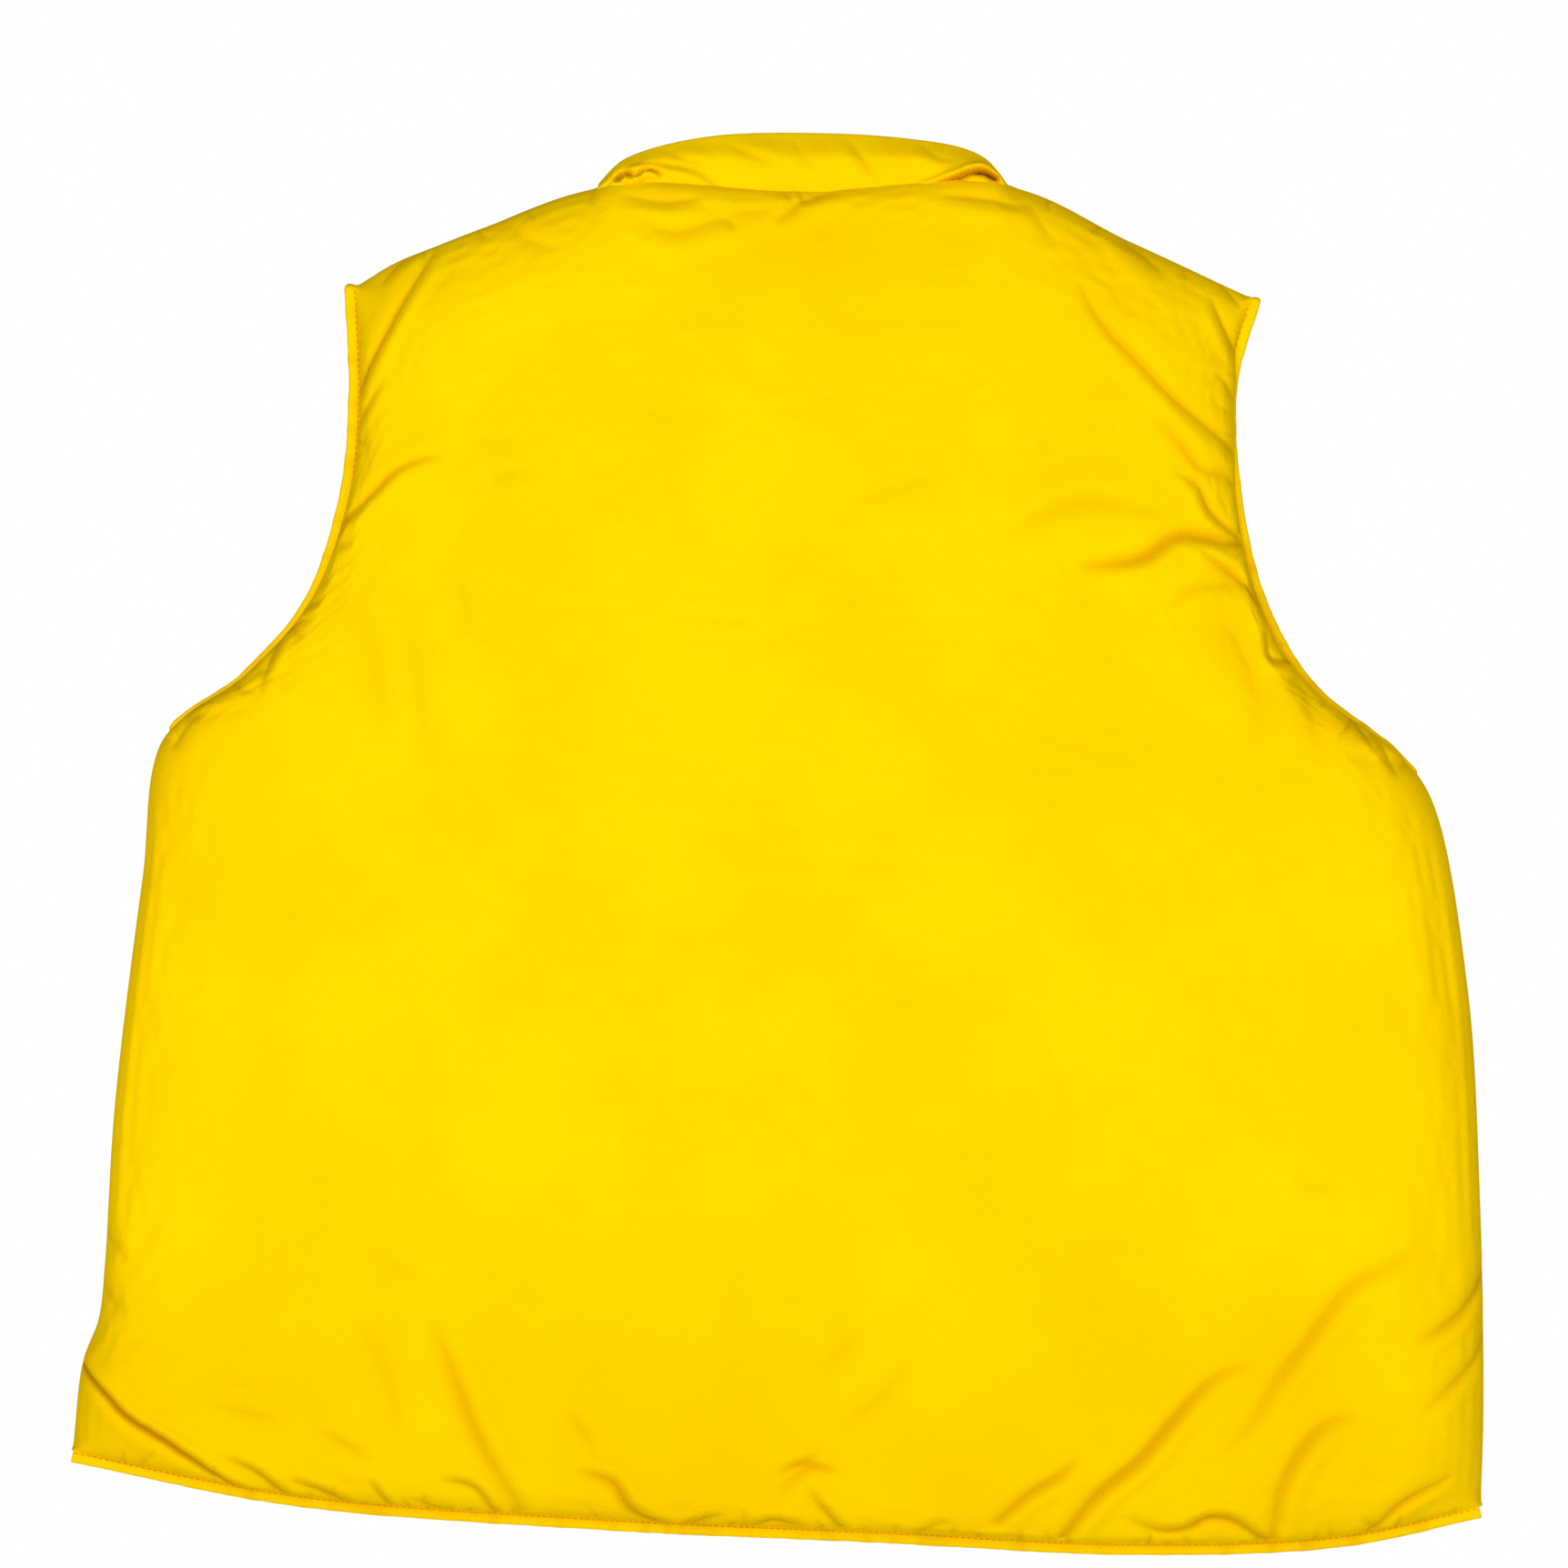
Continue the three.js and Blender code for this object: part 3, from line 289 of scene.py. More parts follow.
def reworked(obj, change):
    """Changes a mesh through bmesh, then turns its faces outwards."""
    bm = bmesh.new()
    bm.from_mesh(obj.data)
    change(bm)
    bmesh.ops.recalc_face_normals(bm, faces=bm.faces)
    bm.to_mesh(obj.data)
    bm.free()


def fill_ends(obj, n, around):
    """Closes both ends of a tube of n rings, each with around points."""
    def change(bm):
        bm.verts.ensure_lookup_table()
        for column in (0, n - 1):
            ring = [bm.verts[k * n + column] for k in range(around)]
            bm.faces.new(ring if column == 0 else ring[::-1]).smooth = True

    reworked(obj, change)


def closed_mesh(name, points, flat=None, fold=None):
    """A closed tube from its rings of points, one row of the grid for each ring."""
    turned = [None if a is None else np.swapaxes(a, 0, 1) for a in (points, flat, fold)]
    obj = grid_mesh(name, turned[0], turned[1], loop=True, fold=turned[2])
    fill_ends(obj, *points.shape[:2])
    return obj


def joined(name, objects):
    """One object from several, keeping their materials."""
    for o in bpy.context.selected_objects:
        o.select_set(False)
    for o in objects:
        o.select_set(True)
    bpy.context.view_layer.objects.active = objects[0]
    bpy.ops.object.join()
    objects[0].name = name
    objects[0].data.name = name
    return objects[0]


def dressed(obj, material):
    obj.data.materials.clear()
    obj.data.materials.append(material)
    return obj


def stands_for(obj, body, slot, *nodes):
    """A piece rides on a body and replaces CAD nodes. The material slot is not used."""
    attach(obj, body)
    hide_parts(*nodes)


# ---------------------------------------------------------------- materials

def put(tree, socket, value):
    """Sets a socket to a value, or links it to the output that feeds it."""
    if isinstance(value, bpy.types.NodeSocket):
        tree.links.new(value, socket)
    else:
        socket.default_value = value


def node(tree, kind, output, inputs, operation=None):
    """Adds a node with its inputs, and returns one of its outputs."""
    made = tree.nodes.new("ShaderNode" + kind)
    if operation:
        made.operation = operation
    for key, value in inputs.items():
        put(tree, made.inputs[key], value)
    return made.outputs[output]


def shaded(name, principled):
    """A new material. principled adds nodes to its tree and returns its shader's inputs."""
    made = bpy.data.materials.new(name)
    made.use_nodes = True
    tree = made.node_tree
    for key, value in principled(tree).items():
        put(tree, tree.nodes["Principled BSDF"].inputs[key], value)
    return made


def sine(tree, source, per_metre):
    turn = node(tree, "Math", 0, {0: source, 1: per_metre * 2 * math.pi}, "MULTIPLY")
    return node(tree, "Math", 0, {0: turn}, "SINE")


def noise(tree, coords, scale, detail=3.0, rough=0.5, warp=0.0):
    return node(tree, "TexNoise", "Fac", {"Vector": coords, "Scale": scale, "Detail": detail,
                                          "Roughness": rough, "Distortion": warp})


def bump(tree, height, distance, strength, before=None):
    inputs = {"Height": height, "Distance": distance, "Strength": strength}
    if before is not None:
        inputs["Normal"] = before
    return node(tree, "Bump", "Normal", inputs)


def blend_colours(tree, factor, first, second):
    made = tree.nodes.new("ShaderNodeMix")
    made.data_type = "RGBA"
    for k, value in ((0, factor), (6, first), (7, second)):
        put(tree, made.inputs[k], (*value, 1) if isinstance(value, tuple) else value)
    return made.outputs[2]


def rescale(tree, source, low, high, to_low, to_high):
    return node(tree, "MapRange", "Result", {"Value": source, "From Min": low, "From Max": high,
                                             "To Min": to_low, "To Max": to_high})


SHEEN, SHEEN_ROUGH = 0.04, 0.45


def cloth(name, light, dark, deep, thread=0.45, weave=0.3, crinkle=0.3, rough=0.62, rib=False):
    """Woven cloth: thread-scale weave, fine crinkle, hue variation and painted shade in its folds.
    """
    def principled(tree):
        uv = tree.nodes.new("ShaderNodeUVMap")
        uv.uv_map = "cloth"
        place = uv.outputs[0]
        threads = {k: sine(tree, node(tree, "SeparateXYZ", k, {0: place}), 500 / thread)
                   for k in (0, 1)}
        woven = node(tree, "Math", 0, threads, "ADD" if rib else "MULTIPLY")
        broad = noise(tree, place, 9, 3, 0.55)
        cloudy = noise(tree, place, 55, 2, 0.5, 0.6)
        fine = noise(tree, place, 900, 2, 0.6)
        small = noise(tree, place, 210, 3, 0.55, 1.4)
        mixed = blend_colours(tree, rescale(tree, broad, 0.35, 0.65, 0, 1), light, dark)
        mixed = blend_colours(tree, rescale(tree, cloudy, 0.3, 0.7, 0.0, 0.22), mixed, dark)
        mixed = blend_colours(tree, rescale(tree, fine, 0.35, 0.7, 0.0, 0.10), mixed, deep)
        # Painted shade: the fold attribute darkens the colour towards deep in creases, puckers and
        # slits, by up to 0.8.
        fold = tree.nodes.new("ShaderNodeAttribute")
        fold.attribute_name = "fold"
        crease_shade = rescale(tree, fold.outputs["Fac"], 0.0, 1.0, 0.0, 0.8)
        normal = bump(tree, woven, 0.10 * MM, weave, bump(tree, small, 1.1 * MM, crinkle))
        return {"Base Color": blend_colours(tree, crease_shade, mixed, deep),
                "Roughness": rescale(tree, cloudy, 0.3, 0.7, rough - 0.05, rough + 0.07),
                "Normal": normal, "Specular IOR Level": 0.0, "Specular Tint": (*light, 1),
                "Sheen Weight": SHEEN, "Sheen Roughness": SHEEN_ROUGH,
                "Sheen Tint": (*light, 1)}

    return shaded(name, principled)


def hard(name, light, dark, rough=0.4, metal=0.0, grain=400, depth=0.05, scratch=0.0):
    """Moulded plastic, rubber or metal: grain, colour drift and fine scratches."""
    def principled(tree):
        coords = tree.nodes.new("ShaderNodeTexCoord").outputs["Object"]
        drift = rescale(tree, noise(tree, coords, 35, 4, 0.6), 0.3, 0.7, 0, 1)
        speckle = noise(tree, coords, grain, 3, 0.6)
        streak = node(tree, "Mapping", 0, {"Scale": (1.0, 1.0, 14.0), "Vector": coords})
        lines = noise(tree, streak, 160, 4, 0.7)
        return {"Base Color": blend_colours(tree, drift, light, dark),
                "Roughness": rescale(tree, lines, 0.3, 0.75, max(rough - 0.08, 0.05),
                                     rough + 0.10 + scratch),
                "Normal": bump(tree, speckle, depth * MM, 0.5), "Metallic": metal}

    return shaded(name, principled)


# A cloth's third colour is the painted shade its folds are darkened towards; a little of it also
# flecks the cloth at random.
SHELL = cloth("shell_nylon", (1.0, 0.66, 0.0), (0.96, 0.605, 0.0), (0.50, 0.225, 0.0))
BINDING = cloth("binding_nylon", (1.0, 0.68, 0.0), (0.96, 0.61, 0.0), (0.52, 0.25, 0.0),
                thread=0.6, weave=0.5, crinkle=0.4, rough=0.68)
THREAD = cloth("sewing_thread", (0.88, 0.53, 0.0), (0.70, 0.38, 0.0), (0.34, 0.16, 0.0),
               thread=0.3, weave=0.6, crinkle=0.1, rough=0.5)
# The lining's dark orange is painted shade on a real part: it stands for the shaded inside of the
# yellow vest.
LINING = cloth("lining_nylon", (0.80, 0.36, 0.02), (0.66, 0.26, 0.015), (0.22, 0.07, 0.0),
               thread=0.5, weave=0.5, crinkle=0.5, rough=0.7)
TAPE = cloth("woven_tape", (0.93, 0.58, 0.0), (0.82, 0.47, 0.0), (0.35, 0.16, 0.0),
             thread=1.1, weave=1.0, crinkle=0.15, rough=0.78, rib=True)
RED_WEB = cloth("red_webbing", (0.62, 0.03, 0.02), (0.42, 0.015, 0.01), (0.12, 0.0, 0.0),
                thread=1.2, weave=1.0, crinkle=0.15, rough=0.75, rib=True)
ELASTIC = cloth("black_elastic", (0.05, 0.05, 0.055), (0.02, 0.02, 0.022), (0.0, 0.0, 0.0),
                thread=1.0, weave=1.0, crinkle=0.2, rough=0.8, rib=True)
RESIN = hard("zip_resin", (0.92, 0.62, 0.02), (0.80, 0.48, 0.01), 0.35, grain=700)
ZIP_METAL = hard("zip_metal", (0.62, 0.63, 0.65), (0.46, 0.47, 0.49), 0.3, 1.0, 900, 0.03, 0.15)
STEEL = hard("cylinder_steel", (0.50, 0.52, 0.54), (0.36, 0.38, 0.40), 0.32, 1.0, 600, 0.03, 0.18)
BLACK = hard("black_plastic", (0.020, 0.021, 0.023), (0.010, 0.010, 0.011), 0.45, 0.0, 1200, 0.08)
RUBBER = hard("rubber", (0.030, 0.031, 0.033), (0.016, 0.016, 0.017), 0.72, 0.0, 500, 0.12)
RED = hard("red_plastic", (0.60, 0.030, 0.018), (0.48, 0.018, 0.010), 0.36, 0.0, 900, 0.05)


# ---------------------------------------------------------------- folds

# Each fold: its line, width and depth in millimetres, the side its ridge leans to, and how
# strong it is at its two ends.
ARMHOLE_FOLDS = [
    ([(-185, -28), (-203, -60), (-224, -100)], 3.6, 2.6, 1, 0.3, 1.0),
    ([(-195, -28), (-206, -37), (-214, -48)], 3.5, 1.6, 1, 0.7, 0.0),
    ([(-209, -94), (-217, -106), (-225, -118)], 2.8, 1.3, 1, 0.0, 1.0),
    ([(-179, -132), (-201, -139), (-222, -158), (-238, -170)], 3.2, 2.4, 1, 0.0, 1.0),
    ([(-222, -160), (-234, -172), (-244, -184)], 3.0, 1.8, -1, 0.2, 1.0),
    ([(-240, -205), (-250, -208), (-259, -212)], 3.0, 1.8, 1, 0.0, 1.0),
    ([(-246, -214), (-256, -218), (-266, -225)], 3.0, 2.0, -1, 0.0, 1.0),
    ([(-263, -224), (-268, -238), (-271, -252)], 3.2, 1.8, 1, 1.0, 0.0),
    ([(-294, -249), (-302, -256), (-309, -262)], 3.0, 1.6, 1, 0.2, 1.0),
    ([(-303, -262), (-311, -270), (-318, -280)], 4.0, 1.7, -1, 0.5, 0.0),
    ([(-168, -125), (-156, -126), (-142, -129)], 6.0, 1.0, 1, 0.0, 0.0),
    ([(-158, -145), (-149, -143), (-140, -139)], 4.0, 0.9, 1, 0.0, 0.0),
    ([(-224, -198), (-218, -225), (-212, -252), (-208, -280)], 12, 1.7, 1, 0.0, 0.0),
    ([(-194, -196), (-192, -235), (-184, -290)], 13, 1.7, -1, 0.0, 0.0),
    ([(-176, -185), (-171, -202), (-168, -222)], 9, 1.1, 1, 0.0, 0.0),
    ([(136, -46), (148, -67), (167, -88), (186, -107), (214, -130)], 4.6, 2.4, -1, 0.0, 1.0),
    ([(171, -113), (186, -127), (198, -140), (212, -143)], 4.4, 2.0, 1, 0.0, 0.8),
    ([(184, -141), (195, -148), (202, -161), (219, -176)], 3.4, 2.4, -1, 0.1, 1.0),
    ([(100, -172), (123, -161), (140, -157), (174, -160)], 7.5, 2.2, 1, 0.0, 0.2),
    ([(134, -188), (167, -184), (186, -173), (200, -174), (216, -177)], 5.2, 4.2, -1, 0.0, 0.8),
    ([(198, -181), (213, -193), (223, -202), (234, -213)], 3.4, 2.6, 1, 0.2, 1.0),
    ([(181, -208), (194, -199), (213, -197)], 5.5, 1.6, -1, 0.0, 0.5),
    ([(223, -196), (233, -214), (245, -231), (254, -240)], 2.8, 2.6, 1, 0.5, 0.6),
    ([(230, -222), (232, -234), (248, -236), (258, -247), (270, -258)], 3.2, 2.6, -1, 0.5, 0.4),
    ([(270, -260), (277, -269), (284, -280)], 3.4, 2.2, 1, 0.6, 0.0),
    ([(283, -271), (290, -281), (296, -294)], 4.0, 1.9, -1, 0.7, 0.0),
    ([(203, -52), (210, -69), (218, -84)], 3.6, 2.2, -1, 0.0, 1.0),
    ([(204, -90), (211, -98), (217, -106)], 3.2, 1.5, 1, 0.0, 1.0),
    ([(207, -42), (213, -49), (219, -58)], 3.0, 1.4, 1, 0.8, 0.0),
    ([(160, -24), (170, -33), (181, -42)], 6.0, 2.0, -1, 0.8, 0.0),
    ([(206, -212), (216, -227), (225, -253), (226, -276)], 12, 2.2, 1, 0.2, 0.0),
    ([(246, -241), (252, -262), (257, -286)], 10, 2.0, 1, 0.3, 0.0),
    ([(21, -156), (44, -150), (68, -143)], 8, 1.1, 1, 0.0, 0.0),
]
NECK_FOLDS = [
    ([(13, 0), (-2, -7), (-15, -17)], 5.0, 2.0, 1, 0.8, 0.0),
    ([(-43, -13), (-39, -16), (-34, -20)], 4.0, 1.4, 1, 0.2, 0.0),
    ([(-90, -3), (-70, -6), (-50, -4)], 5.0, 1.8, -1, 0.3, 0.1),
    ([(70, -3), (90, -5), (112, -9)], 5.0, 1.7, -1, 0.2, 0.2),
    ([(-86, -12), (-67, -21), (-44, -15), (-12, -8)], 6.5, 1.5, -1, 0.2, 0.0),
    ([(-14, 3), (-9, -3), (-5, -10)], 3.0, 1.2, 1, 1.0, 0.0),
    ([(-4, 2), (-1, -5), (4, -9)], 2.6, 1.0, -1, 1.0, 0.0),
    ([(-150, -14), (-140, -24), (-122, -30)], 6.0, 1.0, 1, 0.5, 0.0),
    ([(112, -6), (118, -18), (128, -30)], 6.0, 1.0, -1, 0.5, 0.0),
]
HEM_FOLDS = [
    ([(-368, -585), (-350, -601), (-338, -613), (-318, -626), (-298, -640), (-279, -655)],
     3.2, 4.2, 1, 1.0, 0.6),
    ([(-289, -633), (-274, -640), (-258, -656)], 3.6, 2.9, 1, 0.1, 0.9),
    ([(-257, -644), (-241, -650), (-229, -658)], 3.4, 2.6, 1, 0.1, 0.9),
    ([(-217, -643), (-213, -650), (-208, -658)], 3.0, 2.2, 1, 0.1, 0.9),
    ([(-196, -653), (-189, -657), (-181, -661)], 3.2, 2.0, -1, 0.2, 0.8),
    ([(-182, -643), (-165, -647), (-155, -661)], 3.4, 2.6, 1, 0.1, 0.9),
    ([(-187, -560), (-173, -598), (-163, -623), (-153, -641), (-142, -659)], 6.0, 3.2, 1, 0.0, 0.7),
    ([(-224, -562), (-209, -591), (-202, -624)], 8.0, 1.8, 1, 0.0, 0.0),
    ([(-119, -606), (-112, -618), (-104, -632)], 6.0, 1.6, 1, 0.0, 0.2),
    ([(-113, -639), (-96, -645), (-88, -657), (-70, -670)], 4.4, 3.6, 1, 0.2, 1.0),
    ([(-298, -607), (-280, -611), (-260, -616)], 6.0, 1.3, 1, 0.0, 0.0),
    ([(-243, -619), (-230, -626), (-216, -634)], 5.0, 1.7, 1, 0.0, 0.1),
    ([(-354, -517), (-347, -526), (-338, -534)], 6.0, 1.6, 1, 0.8, 0.0),
    ([(-354, -548), (-347, -554), (-338, -560)], 6.0, 1.6, 1, 0.8, 0.0),
    ([(-218, -526), (-206, -535), (-191, -547)], 7.0, 1.0, 1, 0.0, 0.0),
    ([(-14, -640), (0, -636), (17, -640)], 4.2, 2.6, 1, 0.1, 0.1),
    ([(-12, -650), (-4, -640), (8, -627)], 5.5, 2.0, -1, 0.5, 0.0),
    ([(2, -649), (9, -657), (18, -668)], 3.4, 2.6, 1, 0.2, 1.0),
    ([(-26, -668), (-16, -664), (-2, -668)], 3.6, 2.6, 1, 0.5, 0.5),
    ([(6, -589), (17, -580), (30, -569)], 7.0, 1.3, 1, 0.0, 0.0),
    ([(15, -619), (38, -603), (53, -583)], 7.0, 1.5, 1, 0.0, 0.0),
    ([(96, -664), (112, -650), (127, -640), (137, -630)], 4.2, 3.0, -1, 0.9, 0.0),
    ([(129, -672), (146, -650), (166, -633), (183, -613), (205, -591), (227, -583)],
     5.0, 3.8, -1, 1.0, 0.0),
    ([(204, -634), (223, -613), (235, -593), (250, -574), (272, -546), (294, -534), (315, -521)],
     6.0, 3.0, -1, 0.0, 0.0),
    ([(234, -673), (237, -648), (247, -628), (259, -615), (278, -609)], 5.5, 3.2, -1, 0.8, 0.0),
    ([(164, -664), (178, -669), (190, -668), (202, -662), (214, -664), (232, -676)],
     4.0, 3.4, 1, 0.3, 0.8),
    ([(283, -671), (299, -655), (325, -642)], 3.8, 2.7, -1, 0.9, 0.1),
    ([(304, -575), (326, -561), (343, -541)], 4.5, 3.0, -1, 0.0, 1.0),
    ([(307, -609), (334, -586), (343, -572)], 5.0, 2.4, -1, 0.0, 1.0),
    ([(244, -487), (250, -496), (268, -497)], 6.0, 1.0, 1, 0.0, 0.0),
    ([(-60, -672), (-52, -664), (-40, -660)], 3.6, 1.8, 1, 0.9, 0.0),
    ([(54, -676), (62, -667), (74, -663)], 3.6, 1.6, 1, 0.9, 0.0),
]


def folded(place, folds):
    """How far folds push the cloth out at each place, and how deep it lies in them (0 to 1), which
    is the mask of painted crease shade.
    """
    x, z = place[..., 0], place[..., 1]
    out, crease_shade = np.zeros(x.shape), np.zeros(x.shape)
    for points, width, depth, lean, first, last in folds:
        line = smooth(points)(np.linspace(0, 1, 21))
        w = width * MM
        low, high = line.min(0) - 4.5 * w, line.max(0) + 4.5 * w
        near = (x > low[0]) & (x < high[0]) & (z > low[1]) & (z < high[1])
        if not near.any():
            continue
        px, pz = x[near], z[near]
        best = np.full(px.shape, 1e9)
        side, along = np.zeros(px.shape), np.zeros(px.shape)
        for k in range(len(line) - 1):
            a, d = line[k], line[k + 1] - line[k]
            t = np.clip(((px - a[0]) * d[0] + (pz - a[1]) * d[1]) / (d @ d), 0, 1)
            qx, qz = px - a[0] - t * d[0], pz - a[1] - t * d[1]
            far = np.hypot(qx, qz)
            closer = far < best
            best = np.where(closer, far, best)
            side = np.where(closer, np.sign(d[0] * qz - d[1] * qx) * far, side)
            along = np.where(closer, (k + t) / (len(line) - 1), along)
        s = side / w
        bell = np.sin(np.pi * along) ** 0.8
        strength = bell + (1 - bell) * np.where(along < 0.5, first, last)
        valley = 0.6 * np.exp(-3.4 * np.abs(s) ** 1.4) + 0.4 * np.exp(-0.9 * np.abs(s) ** 1.6)
        ridge = (0.62 * np.exp(-((s - 1.35 * lean) / 1.0) ** 2)
                 + 0.20 * np.exp(-((s + 2.0 * lean) / 1.6) ** 2))
        out[near] += FOLD_GAIN * depth * MM * strength * (ridge - valley)
        # Painted crease shade: the deeper and steeper the valley, the darker it is painted.
        steep = min(depth / width, 1.3)
        crease_shade[near] = np.maximum(crease_shade[near], valley ** 1.5 * strength * steep)
    return out, crease_shade


def puckers(curve, first, last, spacing, reach, depth, seed):
    """Small gathers that run inwards from a sewn edge, as folds."""
    rng = np.random.default_rng(seed)
    t = np.linspace(first, last, 400)
    length = np.sum(np.linalg.norm(np.diff(curve(t), axis=0), axis=1)) / MM
    made, at = [], rng.uniform(0.3, 1) * spacing
    while at < length:
        here = first + (last - first) * at / length
        spot, into = curve(np.array(here)) / MM, inward(curve, np.array(here))
        lean = rng.uniform(-0.7, 0.7)
        side = np.array([-into[1], into[0]])
        long = reach * rng.uniform(0.4, 1.2)
        start = spot + into * 3
        ends = [start, start + into * long * 0.5 + side * lean * long * 0.3,
                start + into * long + side * lean * long]
        made.append((ends, rng.uniform(2.0, 3.4), depth * rng.uniform(0.5, 1.2),
                     1 if rng.random() < 0.5 else -1, 1.0, 0.0))
        at += spacing * rng.uniform(0.5, 1.6)
    return made


# ---------------------------------------------------------------- cloth simulation

def settle(points, longer, held):
    """Lets a grid of cloth buckle: it is cut longer than the shape it is sewn to.

    points is the sewn shape, longer the cut shape, held how firmly each point keeps its place
    (1 is sewn down). Returns how far each point moved.
    """
    rows, columns = points.shape[:2]
    obj = grid_mesh("settling", points)
    obj.shape_key_add(name="Basis")
    cut = obj.shape_key_add(name="cut")
    cut.data.foreach_set("co", longer.astype(np.float32).ravel())
    group = obj.vertex_groups.new(name="sewn")
    weights = held.ravel()
    for level in np.unique(np.round(weights, 2)):
        chosen = np.flatnonzero(np.round(weights, 2) == level)
        group.add(chosen.tolist(), float(level), "REPLACE")
    modifier = obj.modifiers.new("cloth", "CLOTH")
    s = modifier.settings
    s.quality = 5
    s.mass = 0.2
    s.air_damping = 4
    s.tension_stiffness = s.compression_stiffness = 25
    s.shear_stiffness = 12
    s.bending_model = "ANGULAR"
    s.bending_stiffness = 0.9
    s.tension_damping = s.compression_damping = 12
    s.shear_damping = 12
    s.bending_damping = 1.5
    s.vertex_group_mass = "sewn"
    s.pin_stiffness = 1.0
    s.rest_shape_key = cut
    s.use_pressure = True
    s.uniform_pressure_force = SETTLE_PRESSURE
    s.effector_weights.gravity = 0
    modifier.collision_settings.use_collision = False
    modifier.point_cache.frame_start, modifier.point_cache.frame_end = 1, SETTLE_FRAMES
    scene = bpy.context.scene
    for f in range(1, SETTLE_FRAMES + 1):
        scene.frame_set(f)
    graph = bpy.context.evaluated_depsgraph_get()
    after = np.zeros(rows * columns * 3, np.float32)
    obj.evaluated_get(graph).to_mesh().vertices.foreach_get("co", after)
    obj.evaluated_get(graph).to_mesh_clear()
    bpy.data.objects.remove(obj)
    scene.frame_set(1)
    moved = after.reshape(rows, columns, 3).astype(float) - points
    moved[~np.isfinite(moved)] = 0
    far = np.linalg.norm(moved, axis=-1, keepdims=True)
    capped = SETTLE_CAP * np.tanh(far / SETTLE_CAP)
    return moved * np.where(far > 1e-9, capped / np.maximum(far, 1e-9), 0)


def round_edge(distance, reach):
    t = np.clip(distance / reach, 0, 1)
    return np.sqrt(1 - (1 - t) ** 2)


def soft_edge(distance, reach):
    return np.sin(np.pi / 2 * np.clip(distance / reach, 0, 1))


def puffed(patch, edges, height, low):
    """Distance from the middle plane: low at each edge, height inside."""
    rise = np.ones(patch.u.shape)
    total, base = np.zeros(patch.u.shape), np.zeros(patch.u.shape)
    for word in ("left", "right", "top", "bottom"):
        shape, reach = edges[word]
        distance = getattr(patch, word)
        rise = rise * shape(distance, reach * MM)
        weight = 1 / (distance + 0.4 * MM) ** 2
        total += weight
        base += weight * low[word]
    base = base / total
    return base + (height - base) * rise


def on_side(patch, facing, height):
    return np.stack([patch.place[..., 0], facing * height, patch.place[..., 1]], -1)


def edge_distance(patch):
    return np.minimum(np.minimum(patch.left, patch.right), np.minimum(patch.top, patch.bottom))


def away_from(place, spots, fade):
    """0 at the flat spots where gear is fastened, rising to 1 over fade millimetres."""
    calm = np.ones(place.shape[:2])
    for (x, z), radius in spots:
        far = np.hypot(place[..., 0] - x * MM, place[..., 1] - z * MM)
        calm *= ramp(far, radius * MM, (radius + fade) * MM)
    return calm


def sewn_cloth(name, build, facing, size, folds, seed, flat_spots=(), reach=1.0):
    """One puffed panel: sewn shape, listed folds, then the simulated buckling on top."""
    columns, rows = size
    fine, height = build(columns, rows)
    out, crease_shade = folded(fine.place, folds)
    out = out * ramp(edge_distance(fine), 0, 3 * MM)
    calm = away_from(fine.place, flat_spots, 22)
    swell = (1.6 * rough_field(height.shape, (9, 8), seed)
             + 0.7 * rough_field(height.shape, (24, 22), seed + 1)) * MM
    inside = ramp(edge_distance(fine), 0, 40 * MM)
    height = height + (out * reach + swell * inside) * calm
    points = on_side(fine, facing, height)
    coarse, low = build(columns // 4, rows // 4)
    bent, _ = folded(coarse.place, folds)
    distance = edge_distance(coarse)
    quiet = away_from(coarse.place, flat_spots, 26)
    start = on_side(coarse, facing, low + 0.5 * bent * quiet)
    near = np.exp(-distance / LOOSE) * quiet
    sides = np.exp(-np.minimum(coarse.left, coarse.right) / LOOSE) * quiet
    ends = np.exp(-np.minimum(coarse.top, coarse.bottom) / LOOSE) * quiet
    longer = start.copy()
    centre = start.mean((0, 1))
    more = np.stack([0.006 + 0.024 * ends, 0.006 + 0.02 * near, 0.006 + 0.024 * sides], -1)
    longer += (start - centre) * more
    longer[..., 1] += facing * near * 2.2 * MM * rough_field(low.shape, (40, 36), seed + 2)
    held = np.where(distance < 1e-6, 1.0, 0.02 + 0.10 * (1 - near) + 0.85 * (1 - quiet))
    moved = settle(start, longer, np.clip(held, 0, 1))
    moved = enlarge(moved, rows, columns) * calm[..., None] * reach
    moved *= ramp(edge_distance(fine), 0, 8 * MM)[..., None]
    points = points + moved
    # The painted crease shade goes on as the fold attribute.
    return grid_mesh(name, points, flat=fine.place, outwards=(0, facing, 0), fold=crease_shade)


# ---------------------------------------------------------------- outlines of the panels

shoulder, hem = smooth(SHOULDER), smooth(HEM)
SIDES = {
    "left": {"sign": -1, "edge": smooth(LEFT_SIDE), "seam": straight(LEFT_SEAM), "pit": -272,
             "at": LEFT_SEAM, "pivot": (-0.223, 0.0125, -0.3265), "into": (0.95571, 0, -0.2943)},
    "right": {"sign": 1, "edge": smooth(RIGHT_SIDE), "seam": straight(RIGHT_SEAM), "pit": -295,
              "at": RIGHT_SEAM, "pivot": (0.212, 0.0125, -0.341), "into": (-0.96737, 0, -0.25336)},
}
for side in SIDES.values():
    side["armpit"] = where(side["edge"], 1, side["pit"] * MM)
    side["seam_top"] = where(shoulder, 0, side["at"][0][0] * MM)
    side["seam_bottom"] = where(hem, 0, side["at"][1][0] * MM)
    side["zip_foot"] = where(hem, 0, side["sign"] * CENTRE * MM)
